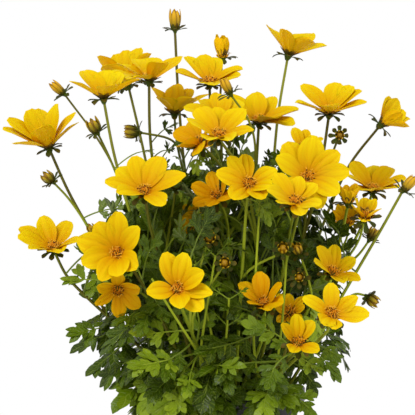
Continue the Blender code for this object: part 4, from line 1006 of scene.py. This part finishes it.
def lobePart(start, along, across, normal, length, half, bend, sink, fold, tint, shape):
    # one finger or web of a leaf. s runs along it and t across. Its spine swings sideways by bend times s
    # squared and sinks by sink times s squared, its half-width follows the given shape along it, and its
    # halves fold up from the midrib in proportion to t
    s = np.linspace(0, 1, lobeSize["rows"])[:, None]
    t = np.linspace(-1, 1, 3)[None, :]
    width = half * lookUp(lobeSize[shape], s)
    center = (start + (s * length)[..., None] * along + (t * width + bend * length * s**2)[..., None] * across
              + (fold * width * np.abs(t) - sink * length * s**2)[..., None] * normal)
    thick = lobeSize["thick"] * (1 - t**2) + 0 * s
    return blade(center, normal + 0 * center, thick, marked(center, s, t, tint))


def leafletParts(start, along, across, normal, length, slim, tint, rng, forks):
    # a web of leaf along the leaflet's rib, which swings by bend and sinks by sink times s squared, a
    # finger at its end and pairs of fingers that fork from it
    look = lobeSize
    sink, bend, web = rng.uniform(*look["sink"]), rng.uniform(*look["bend"]), look["webReach"]

    def onRib(s):
        # the rib's point at s
        return start + (s * length * along + bend * length * s**2 * across - sink * length * s**2 * normal)

    def tone():
        # the leaf's tint, a little different on each finger
        return tint + rng.uniform(*look["tone"])

    parts = [lobePart(start, along, across, normal, web * length, look["webWide"] * slim * length, bend * web,
                      sink * web, rng.uniform(*look["webFold"]), tone(), "web")]
    parts.append(lobePart(onRib(1 - look["endReach"]), along, across, normal, look["endReach"] * length,
                          look["endWide"] * slim * length, bend + rng.uniform(*look["endBend"]),
                          sink + rng.uniform(*look["endSink"]), rng.uniform(*look["endFold"]), tone(),
                          "finger"))
    for place, turn, reach in look["forks"][:forks]:
        for side in (-1, 1):
            way = math.radians(turn + rng.uniform(-1, 1) * look["swing"])
            out = math.cos(way) * along + side * math.sin(way) * across
            over = side * (math.cos(way) * across - side * math.sin(way) * along)
            size = reach * length * rng.uniform(*look["size"])
            parts.append(lobePart(onRib(place), out, side * over, normal, size,
                                  look["forkWide"] * slim * size, -side * rng.uniform(*look["forkBend"]),
                                  rng.uniform(*look["forkSink"]), rng.uniform(*look["forkFold"]), tone(),
                                  "finger"))
    return parts


def leafParts(rib, rng, pairs=None, slim=1.0, forks=2, tint=None, flip=False):
    # a petiole that runs on as the rib, pairs of leaflets that leave it at (share of the blade, length as
    # a share of the blade), and an end leaflet; a flipped leaf shows its back
    look = lobeSize
    size, whole, at = rib
    pairs = look["pairs"] if pairs is None else pairs
    tint = rng.uniform(0.0, 1.0) ** 1.3 if tint is None else tint
    lengths = np.linspace(0, whole - look["ribShort"] * size, look["ribPoints"])
    point, along, normal = at(lengths)
    thin = np.interp(lengths, (0, whole - size, whole), leafSize["petiole"])
    thin = thin * (0.45 + 0.55 * size / leafSize["blade"])
    stalk = tube(point, thin, look["ribSides"], tint + look["ribTint"])
    stalk[3][:, 0], stalk[3][:, 1] = 0.1, 0
    parts = [stalk]

    def grow(share, turn, length, forks):
        # a leaflet from the rib at a share of the blade, turned off it in the leaf's plane
        point, along, normal = (v[0] for v in at(np.array([whole - (1 - share) * size])))
        normal = unit(normal + rng.normal(0, look["face"], 3)) * (-1 if flip else 1)
        across = unit(np.cross(normal, along))
        out = unit(math.cos(turn) * along + math.sin(turn) * across + rng.uniform(*look["lift"]) * normal)
        sideways = unit(np.cross(normal, out))
        upright = unit(np.cross(out, sideways))
        parts.extend(leafletParts(point, out, sideways, upright, length, slim, tint, rng, forks))

    for share, reach in pairs:
        for side in (-1, 1):
            grow(share + rng.uniform(*look["shift"]), side * math.radians(rng.uniform(*look["turn"])),
                 reach * size * rng.uniform(*look["size"]), max(1, forks - 1))
    grow(look["end"], rng.uniform(*look["endTurn"]), (1 - look["end"]) * size * look["endLong"], forks)
    return parts


# The crowd is a grid of cells that are taken, so that a new leaf grows where there is room

crowdSize = {"cell": 2.4, "low": (-175.0, -150.0, 55.0), "cells": (146, 122, 126)}
crowd = np.zeros(crowdSize["cells"], bool)


def crowdCells(points):
    # the cells that the points fall in
    cells = ((points - crowdSize["low"]) / crowdSize["cell"]).astype(int)
    return tuple(np.clip(cells, 0, np.array(crowdSize["cells"]) - 1).T)


def fillCrowd(parts):
    # takes the cells of all the parts' points
    for part in parts:
        crowd[crowdCells(part[0])] = True
    return parts


def keepView(points):
    # nothing grows between these points and the front, so that they stay in view
    x, y, z = crowdCells(points)
    depth = np.zeros((crowd.shape[0], crowd.shape[2]), int)
    np.maximum.at(depth, (x, z), y)
    crowd[np.arange(crowd.shape[1])[None, :, None] < depth[:, None, :]] = True


# step, sizes and chance are by the height on the stalk, and reach, how far a tip may stand from the
# mound's axis, by the tip's height; ranges are those that a number is drawn from
extraSize = {"step": ((85, 8.0), (220, 12.0)), "stepVary": (0.8, 1.2), "first": (4, 14), "last": 12,
             "sizes": ((84, 44), (120, 42), (160, 34), (200, 26), (240, 18)), "sizeVary": (0.8, 1.15),
             "chance": ((84, 1.0), (180, 1.0), (205, 0.75), (230, 0.6), (250, 0.4), (264, 0.0)),
             "tries": 24, "touch": 5, "stalkSide": 0.6, "lowest": 84.0, "axis": -8.0, "floor": 63.0,
             "knee": 0.9, "petiole": (0.3, 0.9), "swing": (-0.7, 0.7), "rise": (5, 65), "sink": (-75, 15),
             "faceOut": 0.9, "faceUp": (0, -0.3, 0.75), "faceVary": 0.2,
             "sketch": (0.95, 0.0, 9), "sketchWide": 0.28, "slim": (0.85, 1.2), "turned": 0.07,
             "small": 24.0, "smallSlim": (0.6, 0.9), "smallPair": ((0.25, 0.4),), "pairChance": 0.6,
             "reach": ((62, 58), (80, 60), (87, 56), (96, 58), (103, 66), (114, 88), (125, 94), (135, 90),
                       (150, 98), (165, 94), (186, 86), (206, 74), (220, 64), (240, 52), (262, 40))}


def sketchLeaf(rib):
    # points over a leaf's outline, to try it against the crowd
    size, whole, at = rib
    point, along, normal = at(whole - np.linspace(*extraSize["sketch"]) * size)
    over = np.cross(along, normal) * (extraSize["sketchWide"] * size)
    return np.concatenate([point + k * over for k in (-1, -0.5, 0, 0.5, 1)])


def bestLeaf(tries, size, touch):
    # of several ways to hang a leaf, (root, tip, hang, way it faces) each, the one that touches least
    best = (touch + 1, None)
    for root, tip, hang, faces in tries:
        reach = lookUp(extraSize["reach"], tip[2])
        if tip[2] < extraSize["floor"] or math.hypot(tip[0] - extraSize["axis"], tip[1]) > reach:
            continue
        rib = leafRib(root, tip, hang, faces, size)
        hits = crowd[crowdCells(sketchLeaf(rib))].sum()
        if hits < best[0]:
            best = (hits, rib)
    return best[1]


def dressLeaf(rib, rng):
    # a small leaf has few narrow fingers, a large one is broad; a few show their backs
    look = extraSize
    flip = rng.uniform() < look["turned"]
    if rib[0] < look["small"]:
        pairs = look["smallPair"] if rng.uniform() < look["pairChance"] else ()
        return fillCrowd(leafParts(rib, rng, pairs, rng.uniform(*look["smallSlim"]), 1, flip=flip))
    return fillCrowd(leafParts(rib, rng, slim=rng.uniform(*look["slim"]), flip=flip))


def flatWay(angle):
    # the level unit vector at an angle from the x axis
    return np.array((math.cos(angle), math.sin(angle), 0))


def tilted(flat, degrees):
    # a level unit vector turned up by so many degrees
    rise = math.radians(degrees)
    return math.cos(rise) * flat + np.array((0, 0, math.sin(rise)))


def extraLeaves(path, rng):
    # opposite pairs up a stalk, each pair a quarter turn on from the last; each leaf arches out and
    # hangs with its face outwards
    look, grown = extraSize, []
    lengths = lengthsAlong(path)
    place, quarter = rng.uniform(*look["first"]), rng.uniform(0, 2 * np.pi)
    while place < lengths[-1] - look["last"]:
        root = pathAt(path, lengths, np.array([place]))[0]
        place += lookUp(look["step"], root[2]) * rng.uniform(*look["stepVary"])
        quarter += 0.5 * np.pi
        if root[2] < look["lowest"] or rng.uniform() > lookUp(look["chance"], root[2]):
            continue
        for half in (0, np.pi):
            size = lookUp(look["sizes"], root[2]) * rng.uniform(*look["sizeVary"])
            tries = []
            for _ in range(look["tries"]):
                flat = flatWay(quarter + half + rng.uniform(*look["swing"]))
                rise, sink = rng.uniform(*look["rise"]), rng.uniform(*look["sink"])
                tip = root + (look["knee"] + rng.uniform(*look["petiole"])) * size * tilted(flat, rise)
                faces = unit(look["faceOut"] * flat + np.array(look["faceUp"])
                             + rng.normal(0, look["faceVary"], 3))
                tries.append((root + look["stalkSide"] * flat, tip, tilted(flat, sink), faces))
            rib = bestLeaf(tries, size, look["touch"])
            if rib:
                grown += dressLeaf(rib, rng)
    return grown


skirtSize = {"leaves": 72, "radius": (52.0, 60.0), "height": (64.0, 88.0), "size": (28.0, 42.0),
             "bare": (-24.0, 10.0), "roots": (84, 112), "rootPoints": 40, "nearest": 12, "tries": 10,
             "touch": 40, "swing": (-0.3, 0.3), "hang": (-80, -45), "faceUp": (0, 0, 0.5)}


def skirtLeaves(stalks, rng):
    # low leaves that hang over the pot's rim all round, but for a stretch on the right
    look, grown = skirtSize, {}
    roots = [(node, point) for node, (paths, _) in stalks.items()
             for point in evenly(paths[0], look["rootPoints"])
             if look["roots"][0] < point[2] < look["roots"][1]]
    spots = np.array([point for _, point in roots])
    for i in range(look["leaves"]):
        angle = (i + rng.uniform(*look["swing"])) * 2 * np.pi / look["leaves"]
        if look["bare"][0] < (math.degrees(angle) + 180) % 360 - 180 < look["bare"][1]:
            continue
        flat = flatWay(angle)
        tries, owners = [], []
        size = rng.uniform(*look["size"])
        for _ in range(look["tries"]):
            out = rng.uniform(*look["radius"])
            tip = out * flat + np.array((extraSize["axis"], 0, rng.uniform(*look["height"])))
            hang = tilted(flat, rng.uniform(*look["hang"]))
            faces = unit(flat + np.array(look["faceUp"]) + rng.normal(0, extraSize["faceVary"], 3))
            near = rng.choice(np.argsort(np.linalg.norm(spots - tip, axis=1))[:look["nearest"]])
            tries.append((spots[near], tip, hang, faces))
            owners.append((tip, roots[near][0]))
        rib = bestLeaf(tries, size, look["touch"])
        if rib:
            end = rib[2](np.array([rib[1]]))[0][0]
            owner = min(owners, key=lambda pair: np.linalg.norm(pair[0] - end))[1]
            grown.setdefault(owner, []).extend(dressLeaf(rib, rng))
    return grown


# x, y, z of the tip, turn and rise of the blade, turn and rise of the way it faces, length and tint
shownLeaves = (
    (-21, -30, 238, 20, -70, -20, 35, 17, 0.95),
    (26, -62, 205, -20, -70, 10, 20, 22, 0.75),
    (33, -58, 214, 40, -50, 10, 30, 15, 0.6),
    (-66, -90, 114, -80, -8, 0, 50, 36, 0.85),
    (11, -90, 116, 80, 4, 0, 50, 34, 0.8),
    (-26, -92, 92, 10, -75, 0, 30, 26, 0.75),
    (-38, -86, 80, -20, -70, 0, 20, 26, 1.0),
    (-112, -36, 168, -90, -5, -10, 50, 26, 0.8),
    (-95, -44, 158, -70, -40, -10, 50, 22, 0.7),
    (76, -70, 118, 60, -30, 10, 50, 30, 0.6),
    (62, -78, 108, 50, -40, 10, 50, 26, 0.9),
    (-14, -70, 74, -15, -75, 0, 25, 34, 0.45),
    (2, -68, 72, 10, -78, 0, 25, 36, 0.3),
    (17, -67, 74, 25, -72, 5, 25, 34, 0.55),
    (31, -62, 76, 40, -68, 20, 25, 34, 0.35),
    (44, -52, 78, 50, -62, 30, 25, 32, 0.6),
    (-30, -66, 78, -25, -70, -10, 25, 32, 0.5),
    (28, -92, 98, 15, -60, 5, 35, 30, 0.5),
    (-2, -90, 96, -20, -55, 0, 35, 30, 0.35),
    (-52, -78, 90, -45, -50, -10, 35, 30, 0.3),
    (-76, -60, 138, -60, -30, -10, 50, 28, 0.45),
    (-58, -72, 134, -30, -45, 0, 45, 30, 0.55),
    (-40, -70, 142, 30, -50, 0, 45, 28, 0.35),
)


shownSize = {"knee": 1.1, "climb": 0.8, "above": 2, "slim": (0.9, 1.15)}


def placeLeaves(stalks, rng):
    # the leaves of the table, each from the stalk point that its petiole reaches most easily
    grown = {}
    for row in shownLeaves:
        tip, hang, normal, size = np.array(row[:3], float), aim(*row[3:5]), aim(*row[5:7]), row[7]
        knee, best = tip - shownSize["knee"] * size * hang, (math.inf, None)
        for node, (_, runs) in stalks.items():
            points = np.concatenate(runs)
            points = points[points[:, 2] > extraSize["lowest"] + shownSize["above"]]
            away = np.linalg.norm(points - knee, axis=1)
            away = away + shownSize["climb"] * np.maximum(0, points[:, 2] - knee[2])
            if len(away) and away.min() < best[0]:
                best = (away.min(), (node, points[away.argmin()]))
        node, root = best[1]
        rib = leafRib(root, tip, hang, normal, size)
        parts = leafParts(rib, rng, slim=rng.uniform(*shownSize["slim"]), tint=row[8])
        grown.setdefault(node, []).extend(fillCrowd(parts))
    return grown


# x, y, z of a young shoot's foot and tip, the leaf pairs on it and their length
youngShoots = (
    (-2, -50, 96, 1, -64, 158, 3, 13),
    (-22, -54, 100, -8, -58, 186, 1, 14),
    (-12, -56, 104, -50, -80, 172, 0, 0),
    (34, -50, 96, 40, -40, 186, 0, 0),
    (14, -46, 100, 22, -50, 226, 0, 0),
    (-2, -48, 100, -22, -58, 180, 2, 14),
)


shootSize = {"radius": (1.05, 0.7), "points": 24, "sides": 7, "tint": 0.6, "pairs": ((0.3, 0.4),),
             "step": 0.26, "slim": (0.55, 0.75), "leafTint": (0.5, 0.9), "rises": (0, 0, 8),
             "bows": (0, -4, 0), "petiole": 1.25, "turn": (50, 85), "rise": (15, 50), "faces": (20, 60)}


def growShoots(stalks, pieces, rng):
    # young shoots in front, each a cubic from the nearest main stalk with pairs of narrow leaves down it
    look = shootSize
    for row in youngShoots:
        foot, tip, pairs, size = np.array(row[:3], float), np.array(row[3:6], float), row[6], row[7]
        node = min(stalks, key=lambda node: np.linalg.norm(stalks[node][1][0] - foot, axis=1).min())
        main = stalks[node][1][0]
        start = main[np.linalg.norm(main - foot, axis=1).argmin()]
        path = bezier(start, foot + look["rises"], foot + 0.5 * (tip - foot) + look["bows"], tip,
                      look["points"])
        pieces[node]["stalks"].append(tube(path, np.linspace(*look["radius"], look["points"]), look["sides"],
                                           look["tint"], stalkSize["ridges"]))
        lengths, parts = lengthsAlong(path), []
        for pair in range(pairs):
            root = pathAt(path, lengths, np.array([lengths[-1] * (1 - look["step"] * pair) - 1]))[0]
            for side in (-1, 1):
                way = aim(side * rng.uniform(*look["turn"]), rng.uniform(*look["rise"]))
                rib = leafRib(root, root + look["petiole"] * size * way, way,
                              aim(0, rng.uniform(*look["faces"])), size)
                parts += leafParts(rib, rng, look["pairs"], rng.uniform(*look["slim"]), 1,
                                   rng.uniform(*look["leafTint"]))
        pieces[node]["leaves"] += fillCrowd(parts)
        keepView(path)


# The pieces of each stem

stemNames = sorted(stems)
pieces = {node: {"stalks": [], "bracts": [], "leaves": [], "buds": [], "openPetals": [], "openDiscs": []}
          for node in stemNames}
rng = np.random.default_rng(seed)
for node in stemNames:
    paths = stalks[node][0]
    for i, path in enumerate(paths):
        thick = stalkSize["branch"] if i else stalkSize["main"]
        curve = (smoothPath(path, stalkSize["branchPoints"]) if i
                 else smoothPath(np.concatenate([[feet[node]], path]), stalkSize["points"]))
        radii = np.linspace(thick, stalkSize["tip"] * thick, len(curve)) * stalkSize["slim"]
        stalk = tube(curve, radii, stalkSize["sides"], rng.uniform(0.0, 1.0), stalkSize["ridges"])
        stalk[3][:, 3] = rng.uniform(0.0, 1.0)  # how brown it is flushed
        pieces[node]["stalks"].append(stalk)
    for head in stems[node]:
        if head["kind"] == "bud":
            budPetals, budBracts = budParts(head)
            pieces[node]["buds"] += budPetals
            pieces[node]["bracts"] += budBracts
        else:
            pieces[node]["bracts"] += calyxParts(head)
        if head["kind"] == "half":
            pieces[node]["openPetals"] += bloomParts(head, bloomSize["halfSink"], fuller=1)
            pieces[node]["openDiscs"] += discParts(head, bloomSize["halfSink"])
        if head["kind"] == "bloom":
            petals = fillCrowd(bloomParts(head, 0.0))
            if head["y"] < 0:
                keepView(np.concatenate([part[0] for part in petals]))
            makeMesh(head["bloom"] + "_petals", petals, petal, "petal", [head["bloom"]])
            makeMesh(head["bloom"] + "_disc", discParts(head, 0.0), floret, "petal")
    for parts in pieces[node].values():
        fillCrowd(parts)
    for path in paths:
        line = evenly(path, stalkSize["viewPoints"])
        # in front, and above the low leaves
        keepView(line[(line[:, 1] < stalkSize["viewDeep"]) & (line[:, 2] > stalkSize["viewLow"])])
for node, grown in placeLeaves(stalks, rng).items():
    pieces[node]["leaves"] += grown
growShoots(stalks, pieces, rng)
for node, rib in leaves:
    pieces[node]["leaves"] += fillCrowd(leafParts(rib, rng, slim=rng.uniform(0.95, 1.25)))
for node, grown in skirtLeaves(stalks, rng).items():
    pieces[node]["leaves"] += grown
for node in stemNames:
    for path in stalks[node][0]:
        pieces[node]["leaves"] += extraLeaves(evenly(path, 60), rng)

finishes = {"stalks": (stalkGreen, "leafy_stem"), "bracts": (bractGreen, "leafy_stem"),
            "leaves": (leafGreen, "leafy_stem"), "buds": (budPetal, "petal"), "openPetals": (petal, "petal"),
            "openDiscs": (floret, "petal")}
for node in stemNames:
    for kind, parts in pieces[node].items():
        if parts:
            makeMesh(f"{node}_{kind}", parts, *finishes[kind], [node] if kind == "stalks" else ())
print("plant dressed")


# Pot and soil

potSize = {"height": 92.0, "topRadius": 51.0, "footRadius": 36.0, "wall": 1.6, "rimHigh": 9.0, "rimOut": 2.2,
           "sides": 96, "drains": 4, "drainRadius": 4.0, "drainRing": 24.0, "round": 0.6}


def lathe(profile, sides):
    # a profile of (radius, height) carried round the upright axis
    radii, heights = np.array(profile).T
    angles = np.arange(sides) * 2 * np.pi / sides
    return np.stack([radii[:, None] * np.cos(angles), radii[:, None] * np.sin(angles),
                     heights[:, None] + 0 * angles], axis=-1)


def plain(rings):
    # a skin whose marks are all nought
    return skin(rings, np.zeros(rings.shape[:2] + (4,)))


def makePot():
    # a thin wall turned from foot to rim and back down inside, with its edges rounded, and four drain
    # holes cut through the base
    look = potSize
    r, high, wall, foot = look["round"], look["height"], look["wall"], look["footRadius"]
    rimLow = high - look["rimHigh"]
    slope = (look["topRadius"] - foot) / high
    under, rim = foot + slope * rimLow, look["topRadius"] + look["rimOut"]
    profile = ((0.2, 0), (foot - 1.2, 0), (foot - 0.35, 0.3), (foot, 1.1),
               (foot + slope * 30, 30), (foot + slope * 60, 60),
               (under - 0.15, rimLow - 0.7), (under + 0.3, rimLow - 0.1), (rim - r, rimLow),
               (rim, rimLow + r),
               (rim, high - r), (rim - 0.3 * r, high - 0.3 * r), (rim - r, high), (rim - wall + r, high),
               (rim - wall, high - r), (rim - wall - 0.2, rimLow + 1.5), (under - wall, rimLow - wall),
               (foot - wall + slope * 30, 30), (foot - wall, wall + 0.6),
               (foot - wall - 0.6, wall), (0.2, wall))
    pot = makeMesh("pot_shell", [plain(lathe(profile, look["sides"]))], potBlack, "pot", ["pot"])
    holes = []
    for i in range(look["drains"]):
        angle = (i + 0.5) * 2 * math.pi / look["drains"]
        ring = lathe(((look["drainRadius"], -2), (look["drainRadius"], wall + 2)), 32)
        holes.append(plain(ring + look["drainRing"] * flatWay(angle)))
    cutter = makeMesh("drains", holes, potBlack, "pot")
    cut = pot.modifiers.new("drains", "BOOLEAN")
    cut.object, cut.solver = cutter, "EXACT"
    finished = bpy.data.meshes.new_from_object(pot.evaluated_get(bpy.context.evaluated_depsgraph_get()))
    pot.modifiers.clear()
    pot.data = finished
    bpy.data.objects.remove(cutter)


crumbSize = {"top": 81.0, "low": 1.9, "gap": 0.35, "relief": 1.6, "rings": 34, "sides": 128, "crumbs": 320,
             "reach": 46, "size": (0.5, 1.6), "vary": (0.75, 1.3), "grit": 0.22,
             "crumb": ((0.2, -0.9), (0.85, -0.45), (1.0, 0.15), (0.6, 0.75), (0.15, 0.9))}


def makeSoil():
    # a plug of peat: the pot's inside less a hair, with a crumbly top whose height is a sum of sines of
    # three sizes and fine seeded grit, and loose crumbs on it
    look, pot = crumbSize, potSize
    slope = (pot["topRadius"] - pot["footRadius"]) / pot["height"]
    inside = pot["footRadius"] - pot["wall"] - look["gap"]
    profile = [(0.3, look["low"] + 0.1), (inside - 1, look["low"] + 0.1), (inside, look["low"] + 1.4),
               (inside + slope * (look["top"] - 3.5) - 0.3, look["top"] - 2.5)]
    edge = profile[-1][0] - 0.6
    profile += [(radius, look["top"] - 0.6) for radius in np.linspace(edge, 0.3, look["rings"])]
    rings = lathe(profile, look["sides"])
    rng = np.random.default_rng(seed)
    x, y = rings[4:, :, 0], rings[4:, :, 1]
    wave = np.sin(0.31 * x + 1.3 * np.sin(0.17 * y)) + np.sin(0.37 * y + 1.1 * np.sin(0.21 * x))
    wave = 0.3 * wave + 0.28 * np.sin(0.9 * x + 0.4 * y) * np.sin(1.1 * y - 0.3 * x)
    grit = rng.normal(0, look["grit"], x.shape)
    rings[4:, :, 2] += look["relief"] * np.clip(0.45 * wave + grit, -0.8, 0.6)
    parts = [plain(rings)]
    for _ in range(look["crumbs"]):
        radius, turn = look["reach"] * math.sqrt(rng.uniform()), rng.uniform(0, 2 * np.pi)
        size = rng.uniform(*look["size"])
        crumb = lathe(look["crumb"], 6) * size * rng.uniform(*look["vary"], (5, 6, 1))
        place = radius * flatWay(turn) + np.array((0, 0, look["top"] + 0.35 * size))
        parts.append(plain(crumb + place))
    makeMesh("soil_crumb", parts, peat, "soil", ["soil"])


makePot()
makeSoil()
counts = [sum(len(face.vertices) - 2 for face in piece.data.polygons) for piece in bpy.context.scene.objects
          if piece.type == "MESH" and "marks" in piece.data.attributes]
print("pot and soil made;", len(counts), "pieces,", sum(counts), "triangles, the most in one", max(counts))


# Floor, light and camera

# in metres; the photograph is 415 pixels wide, at 0.68 mm each
stageLook = {"target": (-0.0133, 0.0, 0.2147), "distance": 2.5, "rise": 3.0, "frameWidth": 415 * 0.00068,
             "floorRadius": 0.55, "skyStrength": 0.68, "keyPower": 22.5, "fillPower": 8.0}


def makeStage():
    # a round floor of pale paper, an even white sky and two soft boxes in front
    look = stageLook
    rim = lathe(((look["floorRadius"], 0),), 64)[0]
    mesh = bpy.data.meshes.new("floor")
    mesh.from_pydata(rim.tolist(), [], [list(range(len(rim)))])
    floor = bpy.data.objects.new("floor", mesh)
    bpy.context.scene.collection.objects.link(floor)
    paper = bpy.data.materials.new("studioPaper")
    paper.use_nodes = True
    shader = paper.node_tree.nodes["Principled BSDF"]
    shader.inputs["Base Color"].default_value = linear("#F2F1EE")
    shader.inputs["Roughness"].default_value = 0.9
    mesh.materials.append(paper)

    world = bpy.data.worlds.new("studio")
    bpy.context.scene.world = world
    world.use_nodes = True
    tree = world.node_tree
    background = tree.nodes["Background"]
    background.inputs["Color"].default_value = (1, 1, 1, 1)
    # the paper behind the plant is lit to white, while less light falls on the plant from all round
    sight = addNode(tree, "LightPath", out="Is Camera Ray")
    light = addNode(tree, "Math", (sight, 1 - look["skyStrength"], look["skyStrength"]),
                    operation="MULTIPLY_ADD")
    tree.links.new(light, background.inputs["Strength"])

    def softbox(name, place, size, power):
        # a round lamp that faces the target
        light = bpy.data.lights.new(name, "AREA")
        light.shape, light.size, light.energy = "DISK", size, power
        lamp = bpy.data.objects.new(name, light)
        lamp.location = place
        lamp.rotation_euler = facing(np.array(look["target"]) - np.array(place))
        bpy.context.scene.collection.objects.link(lamp)

    softbox("keySoftbox", (-0.9, -1.3, 1.5), 0.9, look["keyPower"])
    softbox("fillSoftbox", (1.5, -0.9, 0.7), 1.0, look["fillPower"])


def facing(way):
    # the turn that points a lamp or camera along a vector, with its top up
    return Vector(way).to_track_quat("-Z", "Y").to_euler()


def makeCamera():
    # far enough back that the frame's width at the target is the photograph's, and slightly above level
    look = stageLook
    rise = math.radians(look["rise"])
    back = np.array((0, -math.cos(rise), math.sin(rise)))
    camera = bpy.data.cameras.new("camera")
    camera.sensor_width = 36
    camera.lens = 36 * look["distance"] / look["frameWidth"]
    camera.clip_end = 20
    stand = bpy.data.objects.new("camera", camera)
    stand.location = np.array(look["target"]) + look["distance"] * back
    stand.rotation_euler = facing(-back)
    bpy.context.scene.collection.objects.link(stand)
    bpy.context.scene.camera = stand


makeStage()
makeCamera()
bpy.context.scene.view_settings.view_transform = "Standard"
print("stage set")
